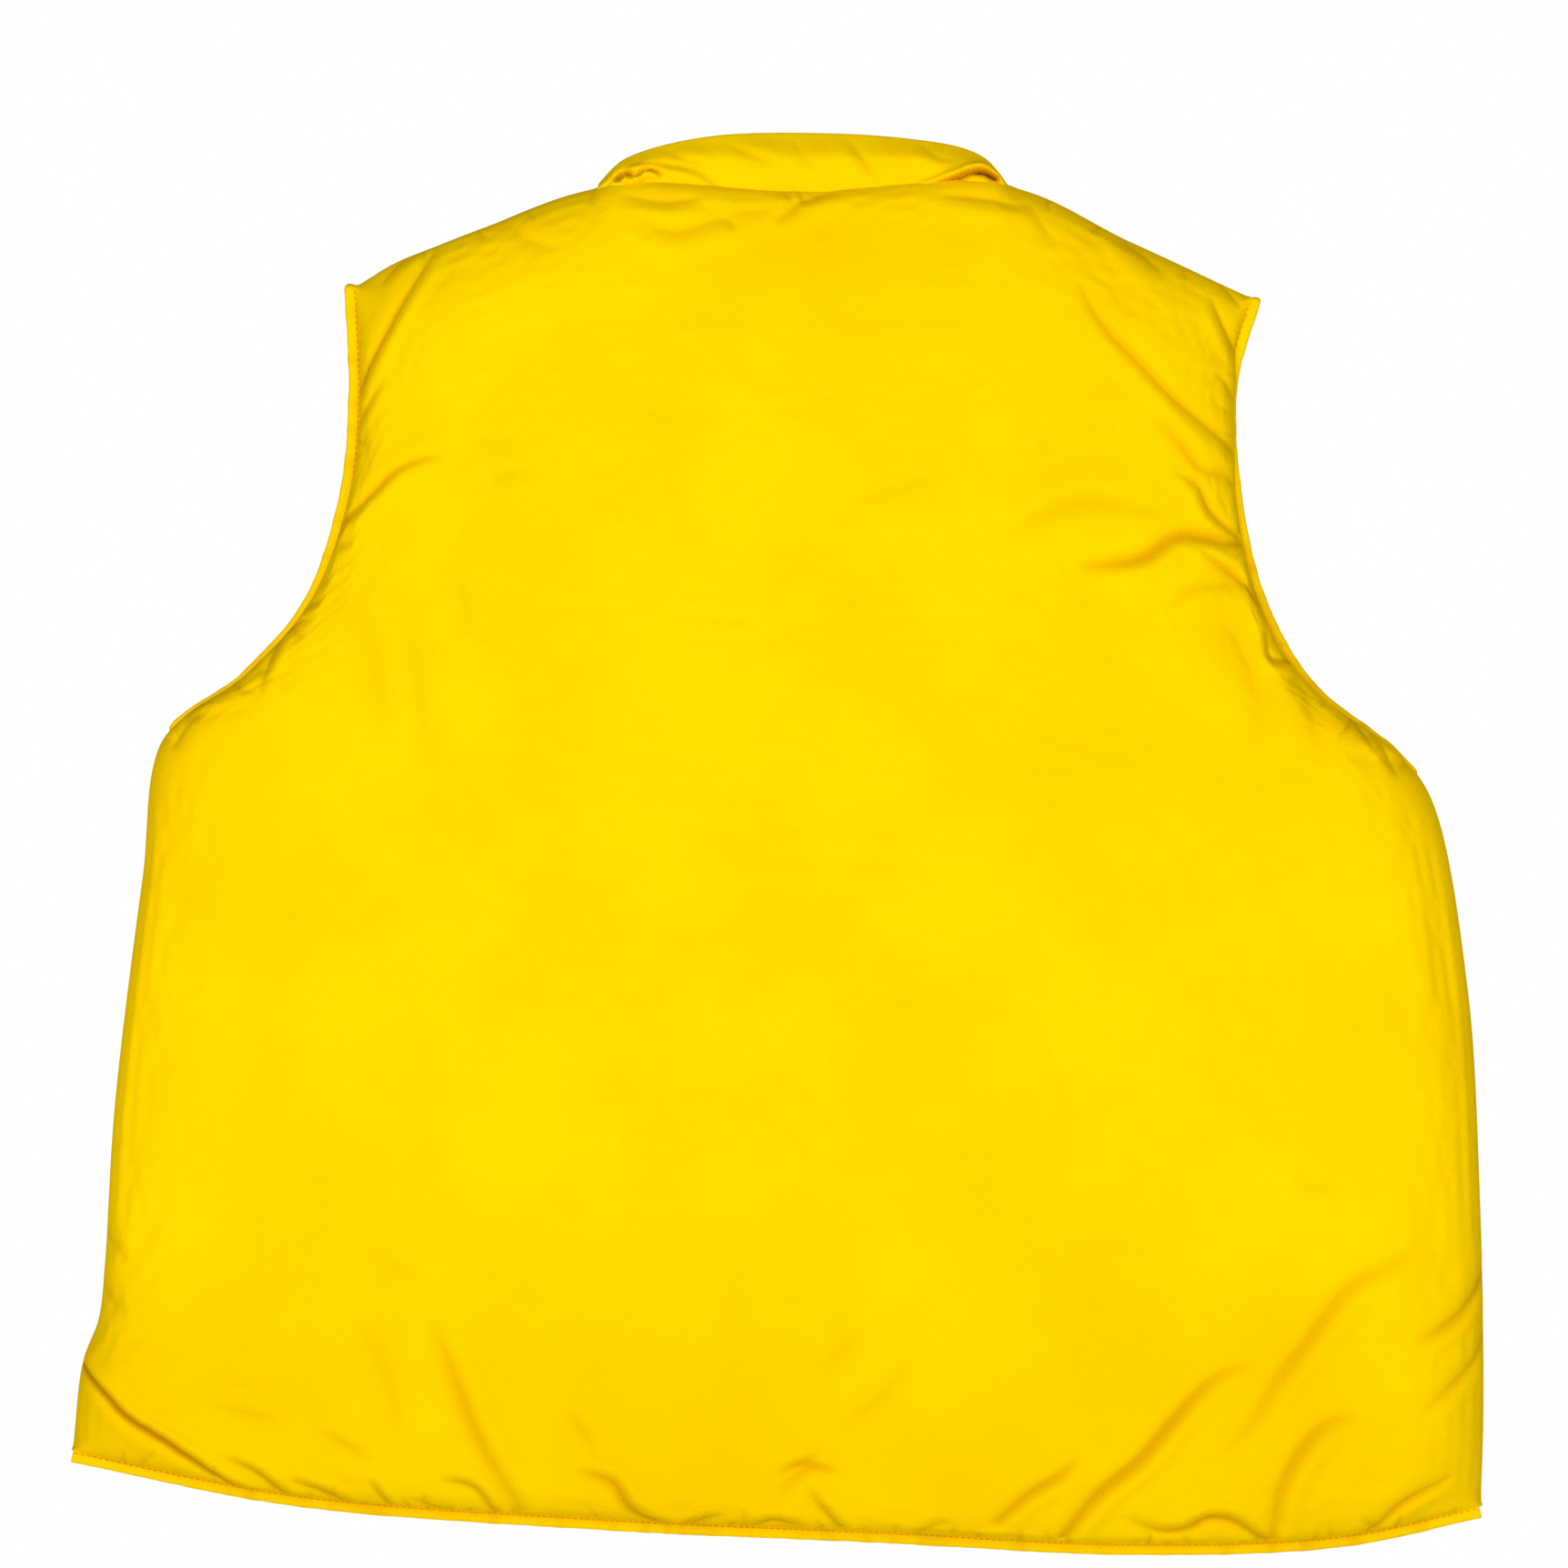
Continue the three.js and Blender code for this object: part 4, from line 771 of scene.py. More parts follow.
# How much of the armhole band shows beside the puffed cloth, as (drop below the neck, width).
BAND_SEEN = {"left": [(45, 5.6), (120, 5.8), (170, 4.6), (215, 3.0), (258, 1.7), (276, 0.2)],
             "right": [(52, 5.8), (78, 5.2), (94, 1.0), (124, 1.0), (150, 3.4), (200, 4.2),
                       (226, 4.8), (250, 3.0), (272, 1.6), (290, 0.2)]}


def body_side(side):
    """Where a panel ends: beside the armhole band, or on the side seam below the armpit."""
    edge = side["edge"]
    drops, widths = np.array(BAND_SEEN["left" if side["sign"] < 0 else "right"]).T
    return inset(edge, lambda t: np.interp(-edge(t)[..., 1] / MM, drops, widths) * MM)


def up_to_hem(curve, gap=TUCK):
    drop = float(abs(curve(np.array(1.0))[1] - curve(np.array(0.0))[1]))
    return stretch(curve, 0, 1 - gap / drop)


def armhole_low(patch, side):
    """The edge lies under the armhole band, and meets the other panel below the armpit."""
    return SEWN_LOW * (1 - ramp(patch.v, side["armpit"] - 0.030, side["armpit"] - 0.010))


def build_back(columns, rows):
    patch = Patch(shifted(shoulder, z=-0.2 * MM), shifted(hem, z=TUCK),
                  up_to_hem(body_side(SIDES["left"])), up_to_hem(body_side(SIDES["right"])),
                  columns, rows)
    neck = ramp(-np.abs(patch.place[..., 0]), -110 * MM, -94 * MM)
    low = {"top": BACK_NECK_LOW * neck, "bottom": SEWN_LOW}
    for word, side in SIDES.items():
        low[word] = armhole_low(patch, side)
    edges = {"left": (round_edge, 54), "right": (round_edge, 54), "top": (round_edge, 56),
             "bottom": (round_edge, 52)}
    return patch, puffed(patch, edges, BACK_HEIGHT, low)


def neckline(sign):
    return smooth([(sign * 124, -5), (sign * 104, -12), (sign * 66, -62), (sign * 10, -90)])


STRIP_SHARE = 0.42    # the part of a front's width that the side strip takes


def front_top(word):
    """The front's upper edge from the shoulder tip to the zip."""
    side = SIDES[word]
    neck = neckline(side["sign"])
    ridge = shoulder if word == "left" else reverse(shoulder)
    seam_t = side["seam_top"] if word == "left" else 1 - side["seam_top"]

    def curve(t):
        t = np.asarray(t, float)
        outer = ridge(np.minimum(t / STRIP_SHARE, 1) * seam_t)
        inner = neck(np.maximum(t - STRIP_SHARE, 0) / (1 - STRIP_SHARE))
        return np.where((t < STRIP_SHARE)[..., None], outer, inner)

    return curve


def build_front(word):
    """The side strip and the opening front as one cloth, with the seam's dip between them."""
    side = SIDES[word]
    top = front_top(word)
    hem_way = hem if word == "left" else reverse(hem)
    end = side["zip_foot"] if word == "left" else 1 - side["zip_foot"]
    seam_t = side["seam_bottom"] if word == "left" else 1 - side["seam_bottom"]

    def bottom(t):
        t = np.asarray(t, float)
        inner = seam_t + (t - STRIP_SHARE) / (1 - STRIP_SHARE) * (end - seam_t)
        u = np.where(t < STRIP_SHARE, t / STRIP_SHARE * seam_t, inner)
        return hem_way(u) + np.array([0, TUCK])

    foot = hem(np.array(side["zip_foot"]))[1] / MM
    zip_edge = straight([(side["sign"] * CENTRE, -90), (side["sign"] * CENTRE, foot)])

    def build(columns, rows):
        patch = Patch(top, bottom, up_to_hem(body_side(side)), up_to_hem(zip_edge),
                      columns, rows, crowd=0.4)
        a, b = (np.array(p, float) * MM for p in side["at"])
        d = (b - a) / np.linalg.norm(b - a)
        off = patch.place - a
        across = np.abs(off[..., 0] * d[1] - off[..., 1] * d[0])
        dip = 1 - 0.62 * np.exp(-(across / (17 * MM)) ** 1.3)
        neck = ramp(-np.abs(patch.place[..., 0]), -112 * MM, -100 * MM)
        low = {"top": FRONT_NECK_LOW * neck, "bottom": SEWN_LOW, "right": ZIP_LOW,
               "left": armhole_low(patch, side)}
        edges = {"left": (round_edge, 48), "right": (soft_edge, 60), "top": (round_edge, 60),
                 "bottom": (round_edge, 85)}
        height = puffed(patch, edges, FRONT_HEIGHT, low)
        height = np.where(height > 12 * MM, 12 * MM + (height - 12 * MM) * dip, height)
        return patch, height

    return build


# ---------------------------------------------------------------- body fabric

back_folds = (ARMHOLE_FOLDS + NECK_FOLDS + HEM_FOLDS
              + puckers(hem, 0.03, 0.98, 15, 13, 1.2, 11)
              + puckers(SIDES["left"]["edge"], 0.04, 0.42, 17, 11, 0.9, 12)
              + puckers(SIDES["right"]["edge"], 0.04, 0.42, 17, 11, 0.9, 13)
              + puckers(shoulder, 0.05, 0.30, 22, 9, 0.9, 14)
              + puckers(shoulder, 0.72, 0.95, 22, 9, 0.9, 15))
back = sewn_cloth("back_fabric", build_back, -1, (470, 470), back_folds, 21)
dressed(back, SHELL)
stands_for(back, "garment", "shell_nylon", "back_shell", "back_air_cell", "side_gusset_left",
           "side_gusset_right", "shoulder_yoke_left", "shoulder_yoke_right", "air_duct_left",
           "air_duct_right")


def bends(obj, word, slot, *nodes):
    """Bakes the cloth's placement into its mesh and hides the CAD nodes it stands for; the pivot
    and reach about the front's slanting seam are found but not used.
    """
    side = SIDES[word]
    pivot, reach = Vector(side["pivot"]), Vector(side["into"]) * SEAM_REACH
    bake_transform(obj)
    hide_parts(*nodes)


FRONT_FOLDS = {
    "left": [([(-200, -70), (-180, -95), (-150, -110)], 6, 2.0, 1, 0.3, 0.0),
             ([(-250, -205), (-220, -215), (-190, -240)], 6, 2.4, -1, 0.8, 0.0),
             ([(-18, -120), (-40, -150), (-75, -165)], 7, 2.0, 1, 0.6, 0.0),
             ([(-16, -330), (-36, -338), (-60, -352)], 6, 1.8, -1, 0.8, 0.0),
             ([(-18, -560), (-45, -580), (-80, -590)], 7, 2.2, 1, 0.8, 0.0),
             ([(-120, -668), (-112, -640), (-90, -612)], 6, 2.4, 1, 0.9, 0.0),
             ([(-210, -662), (-196, -640), (-180, -600)], 6, 2.2, -1, 0.9, 0.0),
             ([(-60, -90), (-72, -120), (-100, -140)], 7, 1.8, -1, 0.5, 0.0),
             ([(-290, -655), (-270, -630), (-262, -600)], 5, 2.2, 1, 0.9, 0.0)],
    "right": [([(196, -78), (176, -100), (148, -116)], 6, 2.0, -1, 0.3, 0.0),
              ([(238, -214), (214, -226), (186, -244)], 6, 2.4, 1, 0.8, 0.0),
              ([(17, -140), (40, -165), (70, -176)], 7, 2.0, -1, 0.6, 0.0),
              ([(16, -470), (38, -484), (66, -500)], 6, 2.0, 1, 0.8, 0.0),
              ([(18, -600), (44, -612), (70, -604)], 7, 2.2, -1, 0.8, 0.0),
              ([(120, -678), (128, -650), (150, -620)], 6, 2.4, -1, 0.9, 0.0),
              ([(210, -680), (206, -650), (190, -612)], 6, 2.2, 1, 0.9, 0.0),
              ([(300, -672), (286, -640), (280, -610)], 5, 2.2, -1, 0.9, 0.0)],
}
GEAR = {"left": [((-130, -425), 36), ((-130, -370), 20), ((-130, -320), 20), ((-98, -480), 26)],
        "right": [((124, -405), 24), ((116, -350), 14), ((108, -300), 14), ((103, -250), 18),
                  ((102, -205), 16)]}
for word, side in SIDES.items():
    folds = (FRONT_FOLDS[word]
             + puckers(side["edge"], 0.04, 0.42, 18, 11, 0.9, 31 + side["sign"])
             + puckers(straight([(side["sign"] * CENTRE, -100), (side["sign"] * CENTRE, -660)]),
                       0.02, 0.98, 16, 12, 0.8, 41 + side["sign"])
             + puckers(hem, 0.03, 0.98, 17, 12, 1.0, 51 + side["sign"])
             + puckers(side["seam"], 0.03, 0.97, 21, 10, 0.7, 61 + side["sign"]))
    cloth_piece = sewn_cloth(f"front_fabric_{word}", build_front(word), 1, (280, 400), folds,
                             70 + side["sign"], GEAR[word], reach=0.8)
    dressed(cloth_piece, SHELL)
    bends(cloth_piece, word, "shell_nylon", f"side_{word}_shell", f"side_{word}_air_cell",
          f"front_{word}_shell", f"front_{word}_air_cell")


# ---------------------------------------------------------------- linings

def sheet_area(points):
    a = points[:-1, :-1] - points[1:, 1:]
    b = points[:-1, 1:] - points[1:, :-1]
    return float(np.sum(np.abs(np.linalg.norm(np.cross(a, b), axis=-1))) / 2)


def lining(name, patch, facing, seed):
    wave = (0.55 * rough_field(patch.u.shape, (14, 12), seed)
            + 0.25 * rough_field(patch.u.shape, (40, 36), seed + 1)) * MM
    wave = wave * ramp(edge_distance(patch), 0, 25 * MM)
    points = on_side(patch, facing, LINING_LEVEL + np.abs(wave))
    flat_points = on_side(patch, facing, np.full(patch.u.shape, LINING_LEVEL))
    obj = grid_mesh(name, points, flat=patch.place, outwards=(0, -facing, 0),
                    fold=np.zeros(patch.u.shape))
    span = patch.place.reshape(-1, 2)
    width, length = (span.max(0) - span.min(0)).tolist()
    return dressed(obj, LINING), (width, length), sheet_area(flat_points)


def lining_side(side):
    return inset(side["edge"], lambda t: BAND * 0.8 + 0 * t)


ridge = stretch(shoulder, 0.012, 0.988)


def lining_top(t):
    """The back lining's upper edge: below the shoulder edges, higher behind the collar."""
    place = ridge(t)
    rise = 8 * MM * ramp(-np.abs(place[..., 0]), -112 * MM, -98 * MM) - 9 * MM
    return place + np.stack([0 * rise, rise], -1)


back_patch = Patch(lining_top, shifted(stretch(hem, 0.008, 0.992), z=BAND * 0.7),
                   up_to_hem(lining_side(SIDES["left"]), 6 * MM),
                   up_to_hem(lining_side(SIDES["right"]), 6 * MM), 120, 120, meet=True)
back_lining, cut_size, cut_area = lining("back_lining_cloth", back_patch, -1, 81)
stands_for(back_lining, "garment", "lining_nylon", "back_lining")
for word, side in SIDES.items():
    top = front_top(word)
    sign = side["sign"]
    hem_part = stretch(hem, 0 if word == "left" else 1, side["zip_foot"])
    zip_edge = straight([(sign * CENTRE, -90), (sign * CENTRE, -679)])
    patch = Patch(shifted(stretch(top, 0.03, 1), z=-12 * MM),
                  shifted(stretch(hem_part, 0.02, 1), z=BAND * 0.7),
                  up_to_hem(lining_side(side), 6 * MM), up_to_hem(zip_edge, 6 * MM), 90, 120, 0.3,
                  meet=True)
    front_lining, cut_size, cut_area = lining(f"front_lining_cloth_{word}", patch, 1, 85 + sign)
    bends(front_lining, word, "lining_nylon", f"side_{word}_lining", f"front_{word}_lining")


# ---------------------------------------------------------------- bands and stitches

def sweep(name, line, across, outward, thick, seed, width=BAND, puff=0.35 * MM, around=16):
    """A sewn band: line is its outer edge, across points over its width, outward off its face.

    Small puckers pull the band in between its stitches.
    """
    n = len(line)
    along = lengths(line)
    t = along / along[-1]
    knots = max(int(along[-1] / (7 * MM)), 6)
    pull = ripple(t, knots, seed) * 0.5 + ripple(t, knots * 2, seed + 1) * 0.35
    turn = np.linspace(0, 2 * np.pi, around, endpoint=False)
    c, s = np.cos(turn), np.sin(turn)
    shape_w = 0.5 - 0.5 * np.sign(c) * np.abs(c) ** 0.55
    shape_h = 0.5 + 0.5 * np.sign(s) * np.abs(s) ** 0.6
    crown = np.exp(-((shape_w - 0.32) / 0.33) ** 2)
    points = np.zeros((n, around, 3))
    for k in range(around):
        lift = thick * (shape_h[k] * (0.62 + 0.38 * crown[k]))
        lift = lift + pull * puff * (1 if s[k] > 0.1 else 0.2)
        reach = width * shape_w[k] + pull * 0.28 * MM
        points[:, k] = line + across * reach[:, None] + outward * lift[:, None]
    flat = np.zeros((n, around, 2))
    flat[..., 0] = along[:, None]
    flat[..., 1] = (shape_w * width + shape_h * thick)[None]
    # Painted shade where the puckers pull the band in.
    fold = np.clip(-pull, 0, 1)[:, None] * 0.35 * np.ones((1, around))
    return closed_mesh(name, points, flat, fold), pull


STITCH_WIDE, STITCH_HIGH = 0.5, 0.34


def stitches(name, spots, tangents, outward, length=2.3, seed=5):
    """A row of thread stitches lying on a band."""
    rng = np.random.default_rng(seed)
    lengthwise = np.array([-0.5, -0.3, 0.0, 0.3, 0.5])
    swell = np.array([0.25, 0.85, 1.0, 0.85, 0.25])
    ring = np.linspace(0, 2 * np.pi, 6, endpoint=False)
    points, faces = [], []
    for spot, t, o in zip(spots, tangents, outward):
        side = np.cross(t, o)
        tilt = t + side * rng.uniform(-0.10, 0.10)
        base = len(points)
        for a, w in zip(lengthwise, swell):
            for r in ring:
                points.append(spot + tilt * a * length * MM
                              + side * math.cos(r) * w * STITCH_WIDE / 2 * MM
                              + o * (math.sin(r) * w * STITCH_HIGH / 2 - 0.1 * (1 - w)) * MM)
        for i in range(4):
            for j in range(6):
                k = (j + 1) % 6
                faces.append([base + i * 6 + j, base + i * 6 + k,
                              base + (i + 1) * 6 + k, base + (i + 1) * 6 + j])
    points = np.array(points)
    obj = raw_mesh(name, points, np.array(faces), flat=points[:, [0, 2]],
                   fold=np.zeros(len(points)))
    return dressed(obj, THREAD)


def stitch_row(name, line, across, outward, lift, pull, seed):
    """Stitches along a band, near its inner edge, dipping where the cloth does."""
    along = lengths(line)
    at = np.arange(2 * MM, along[-1] - 2 * MM, STITCH_PITCH)

    def read(rows):
        return np.stack([np.interp(at, along, rows[:, k]) for k in range(3)], -1)

    raised = lift * 0.86 + np.interp(at, along, pull) * 0.35 * MM
    out, acr = read(outward), read(across)
    out /= np.linalg.norm(out, axis=1, keepdims=True)
    spots = read(line) + acr * BAND * 0.80 + out * raised[:, None]
    tangents = np.gradient(spots, axis=0)
    tangents /= np.linalg.norm(tangents, axis=1, keepdims=True)
    return stitches(name, spots, tangents, out, seed=seed)


def flat_band(name, curve, first, last, facing, seed):
    """A band along an edge, lying on the back (-1) or front (1) face."""
    span = np.linspace(first, last, 40)
    length = np.sum(np.linalg.norm(np.diff(curve(span), axis=0), axis=1))
    t = np.linspace(first, last, max(int(length / (1.1 * MM)), 8))
    place, into = curve(t), inward(curve, t)
    y = np.full(len(t), facing * BAND_LOW)
    line = np.stack([place[:, 0], y, place[:, 1]], -1)
    across = np.stack([into[:, 0], 0 * y, into[:, 1]], -1)
    outward = np.tile([0.0, facing, 0.0], (len(t), 1))
    band, pull = sweep(name, line, across, outward, BAND_HIGH - BAND_LOW, seed)
    dressed(band, BINDING)
    row = stitch_row(name + "_row", line, across, outward, BAND_HIGH - BAND_LOW, pull, seed)
    return joined(name, [band, row])


hem_back = flat_band("hem_binding_back", hem, 0.002, 0.998, -1, 101)
stands_for(hem_back, "garment", "binding_nylon", "hem_band_back")
for word, side in SIDES.items():
    end = side["zip_foot"]
    a, b = (0.002, end) if word == "left" else (end, 0.998)
    hem_front = flat_band(f"hem_binding_{word}", hem, a, b, 1, 105 + side["sign"])
    bends(hem_front, word, "binding_nylon", f"hem_band_side_{word}", f"hem_band_front_{word}")


def armhole_band(word, seed):
    """A band round the armhole: down the back edge, across the armpit and up the front."""
    side = SIDES[word]
    edge, last = side["edge"], side["armpit"] - 0.012
    t = np.linspace(0.004, last, 300)
    place, into = edge(t), inward(edge, t)
    level = BAND_LOW + 0.2 * MM
    turn = np.linspace(-np.pi / 2, np.pi / 2, TURN_STEPS + 2)[1:-1]
    tail = place[-1] - place[-2]
    tail /= np.linalg.norm(tail)
    head = place[0] - place[1]
    head /= np.linalg.norm(head)

    def as_line(p, y):
        return np.stack([p[:, 0], np.broadcast_to(y, len(p)), p[:, 1]], -1)

    pit = place[-1] + tail * np.cos(turn)[:, None] * 1.5 * MM
    tip = place[0] + head * np.cos(turn)[:, None] * 0.4 * MM
    line = np.vstack([as_line(place, -level), as_line(pit, level * np.sin(turn)),
                      as_line(place[::-1], level), as_line(tip, -level * np.sin(turn)),
                      as_line(place[:1], -level)])
    into_all = np.vstack([into, np.tile(into[-1], (len(turn), 1)), into[::-1],
                          np.tile(into[0], (len(turn), 1)), into[:1]])
    across = as_line(into_all, 0.0)
    outward = np.zeros(line.shape)
    n = len(place)
    front, tip_start = n + TURN_STEPS, 2 * n + TURN_STEPS
    outward[:n] = [0, -1, 0]
    outward[n:front] = as_line(np.cos(turn)[:, None] * tail, np.sin(turn))
    outward[front:tip_start] = [0, 1, 0]
    outward[tip_start:-1] = as_line(np.cos(turn)[:, None] * head, -np.sin(turn))
    outward[-1] = [0, -1, 0]
    band, pull = sweep(f"armhole_binding_{word}", line, across, outward, BAND_HIGH - level, seed)
    dressed(band, BINDING)
    rows = []
    for k, (a, b) in enumerate(((0, n), (front, tip_start))):
        rows.append(stitch_row(f"armhole_row_{word}_{k}", line[a:b], across[a:b], outward[a:b],
                               BAND_HIGH - level, pull[a:b], seed + k))
    return joined(f"armhole_binding_{word}", [band] + rows)


for word in SIDES:
    binding = armhole_band(word, 111 if word == "left" else 121)
    stands_for(binding, "garment", "binding_nylon", f"armhole_binding_back_{word}",
               f"armhole_binding_front_{word}")


# ---------------------------------------------------------------- collar

def collar(name, rim, foot, facing, seed, folds, size=(260, 72)):
    """A padded stand-up collar: a closed soft pillow between its foot and its rim."""
    columns, around = size
    u = even(columns, 0.5)
    turn = np.linspace(0, 2 * np.pi, around, endpoint=False)
    top, low = rim(u), foot(u)
    full = np.maximum(round_edge(np.minimum(u, 1 - u) * 0.2, 0.02), 0.2)
    up = 0.5 - 0.5 * np.cos(turn)
    bulge = np.sin(turn) * (1 - 0.18 * up)
    points = np.zeros((around, columns, 3))
    flat = np.zeros((around, columns, 2))
    place = low[None] + (top - low)[None] * up[:, None, None]
    middle = facing * (COLLAR_LEVEL - COLLAR_LEAN * ramp(up, 0.6, 1.0))[:, None] * MM
    points[..., 0], points[..., 2] = place[..., 0], place[..., 1]
    out, crease_shade = folded(place, folds)
    soft = (0.9 * rough_field((around, columns), (5, 16), seed)
            + 0.5 * rough_field((around, columns), (9, 40), seed + 1)) * MM
    outer = np.clip(bulge, 0, 1)[:, None]
    thickness = COLLAR_THICK / 2 * bulge[:, None] * full[None]
    points[..., 1] = middle + facing * (thickness + outer * (out + soft * full[None]))
    flat[..., 0] = u[None] * 0.21
    flat[..., 1] = (turn / (2 * np.pi) * 0.07)[:, None]
    # Painted crease shade on the outer face only; the deep narrow folds make the slits dark.
    obj = grid_mesh(name, points, flat, loop=True, fold=crease_shade * outer)
    fill_ends(obj, columns, around)
    return dressed(obj, SHELL)


COLLAR_FOLDS = [
    ([(-40, 25), (-28, 19), (-14, 14)], 4.5, 1.6, 1, 0.3, 0.0),
    ([(22, 27), (28, 18), (35, 8)], 4.2, 1.8, -1, 0.4, 0.2),
    ([(-70, 22), (-60, 16), (-48, 13)], 4.0, 1.6, 1, 0.4, 0.0),
    ([(58, 0), (74, 6), (87, 10.5), (95, 7.5)], 1.9, 7.5, 1, 0.5, 1.0),
    ([(84, 9.5), (90, 10), (95, 7.5)], 2.4, 6.0, 1, 0.0, 1.0),
    ([(-94, 7), (-91, 9.5), (-87, 8.5)], 2.6, 8.0, -1, 0.9, 0.6),
    ([(-84, 8.5), (-80, 11.2), (-75, 10.5), (-71, 7.5)], 1.7, 5.0, -1, 0.8, 0.1),
    ([(-93, 12.5), (-84, 14.5), (-69.5, 13.5), (-54, 10), (-44, 2)], 2.6, 2.0, -1, 0.3, 0.4),
    ([(58, 26), (66, 18), (80, 15)], 4.0, 1.5, -1, 0.3, 0.0),
    ([(-8, 29), (-2, 20), (4, 9)], 5.0, 1.0, 1, 0.2, 0.0),
]
back_rim = smooth([(-104, 6), (-93, 17), (-78, 23.4), (-44, 30.2), (10, 31.3), (52, 28.6),
                   (79, 24), (91, 18.5), (98, 11), (103, 4)])
back_foot = shifted(stretch(shoulder, where(shoulder, 0, -105 * MM), where(shoulder, 0, 105 * MM)),
                    z=-8 * MM)
back_collar = collar("collar_back", back_rim, back_foot, -1, 131, COLLAR_FOLDS)
stands_for(back_collar, "garment", "shell_nylon", "collar_back_shell", "collar_back_pad",
           "collar_back_lining")
for word, side in SIDES.items():
    sign = side["sign"]
    neck = neckline(sign)
    rim = smooth([(sign * 95, 17), (sign * 76, 12), (sign * 42, -10), (sign * 10, -28)])
    foot = shifted(stretch(neck, where(neck, 0, sign * 106 * MM), 1), z=-3 * MM)
    piece = collar(f"collar_{word}", rim, foot, 1, 141 + sign,
                   [([(sign * 70, 4), (sign * 60, -14), (sign * 52, -34)], 5, 1.6, 1, 0.4, 0.0),
                    ([(sign * 34, -20), (sign * 30, -40), (sign * 22, -60)], 5, 1.6, -1, 0.4, 0.0)],
                   size=(200, 60))
    stands_for(piece, f"front_{word}", "shell_nylon", f"collar_{word}_shell",
               f"collar_{word}_pad", f"collar_{word}_lining")


# ---------------------------------------------------------------- straps

def strap(name, line, across, outward, width, thick, look, ridges):
    """A flat woven strap along a line, its faces softly ribbed by its warp threads."""
    count = ridges * 6
    w = np.linspace(-0.5, 0.5, count)
    rib = 0.10 * np.cos(w * ridges * 2 * np.pi) * thick
    edge = np.sqrt(np.clip(1 - (np.abs(w) * 2) ** 8, 0, 1))
    face = (thick / 2 + rib) * np.maximum(edge, 0.25)
    loop_w = np.concatenate([w, w[::-1]])
    loop_h = np.concatenate([face, -face[::-1]])
    points = (line[:, None] + across[:, None] * (loop_w * width)[None, :, None]
              + outward[:, None] * loop_h[None, :, None])
    along = lengths(line)
    flat = np.zeros((len(line), len(loop_w), 2))
    flat[..., 0], flat[..., 1] = along[:, None], (loop_w * width)[None]
    return dressed(closed_mesh(name, points, flat, np.zeros(points.shape[:2])), look)


def way(points, n):
    """A smooth row of n points through 3-D points in millimetres, with its directions."""
    fine = cubic(400, len(points)) @ np.array(points, float)
    share = np.linspace(0, 1, len(fine))
    row = np.stack([np.interp(np.linspace(0, 1, n), share, fine[:, a]) for a in range(3)], -1) * MM
    d = np.gradient(row, axis=0)
    return row, d / np.linalg.norm(d, axis=1, keepdims=True)


def hang_loop():
    """A tape loop at the back neck, tacked down at both ends with short stitches."""
    line, heading = way([(-30, -7.1, 0), (-24, -7.1, 0), (-17, -4.6, 0), (-8, 0.6, 0),
                         (8, 0.6, 0), (17, -4.6, 0), (24, -7.1, 0), (30, -7.1, 0)], 90)
    upwards = np.tile([0.0, 0.0, 1.0], (len(line), 1))
    pieces = [strap("hang_loop_tape", line, upwards, np.cross(heading, upwards), 6 * MM, 1.2 * MM,
                    TAPE, 5)]
    for end, x in (("a", -27.5), ("b", 27.5)):
        spots = np.array([[x * MM, -6.3 * MM, z * MM] for z in np.linspace(-2, 2, 6)])
        pieces.append(stitches(f"loop_tack_{end}", spots, np.tile([1.0, 0, 0], (6, 1)),
                               np.tile([0, 1.0, 0], (6, 1)), length=3.0, seed=7))
    stands_for(joined("hang_loop_tape", pieces), "garment", "woven_tape", "hang_loop")


hang_loop()


# ---------------------------------------------------------------- zip

TAPE_TOP, TAPE_FOOT, TAPE_IN, TAPE_OUT = -28, -668, 2.95, 15
TEETH_TOP, TEETH_FOOT, TOOTH_PITCH, TEETH_LEVEL = -47.8, -654.4, 2.9, 10.4
# One tooth from its root in the tape to its head, as (distance from the middle, half height),
# and its slices through the depth, as (depth, how full the tooth is there).
TOOTH = [(2.7, 0.55), (1.7, 0.62), (1.25, 0.5), (0.95, 0.72), (0.55, 0.62), (0.42, 0.25)]
TOOTH_SLICES = [(-1.15, 0.8), (-0.85, 1.0), (0.85, 1.0), (1.15, 0.8)]


def zip_tape(word, sign):
    """One side's tape, with its woven ribs, from beside the teeth to the seam."""
    n, columns = 500, 26
    z = np.linspace(TAPE_TOP, TAPE_FOOT, n) * MM
    x = np.linspace(TAPE_IN, TAPE_OUT, columns) * MM
    weave = 0.12 * np.cos(np.linspace(0, 10 * np.pi, columns)) * MM
    soft = 0.18 * rough_field((n, columns), (60, 3), 151 + sign) * MM
    y = 10.72 * MM + weave[None] + soft * np.linspace(0, 1, columns)[None]
    upper = np.stack([np.broadcast_to(sign * x, (n, columns)), y,
                      np.broadcast_to(z[:, None], (n, columns))], -1)
    under = upper.copy()
    under[..., 1] = 10.0 * MM
    points = np.concatenate([upper, under[:, ::-1]], 1)
    tape = closed_mesh(f"zip_tape_cloth_{word}", points, points[..., [0, 2]],
                       np.zeros(points.shape[:2]))
    dressed(tape, TAPE)
    stands_for(tape, f"front_{word}", "woven_tape", f"zip_tape_{word}")


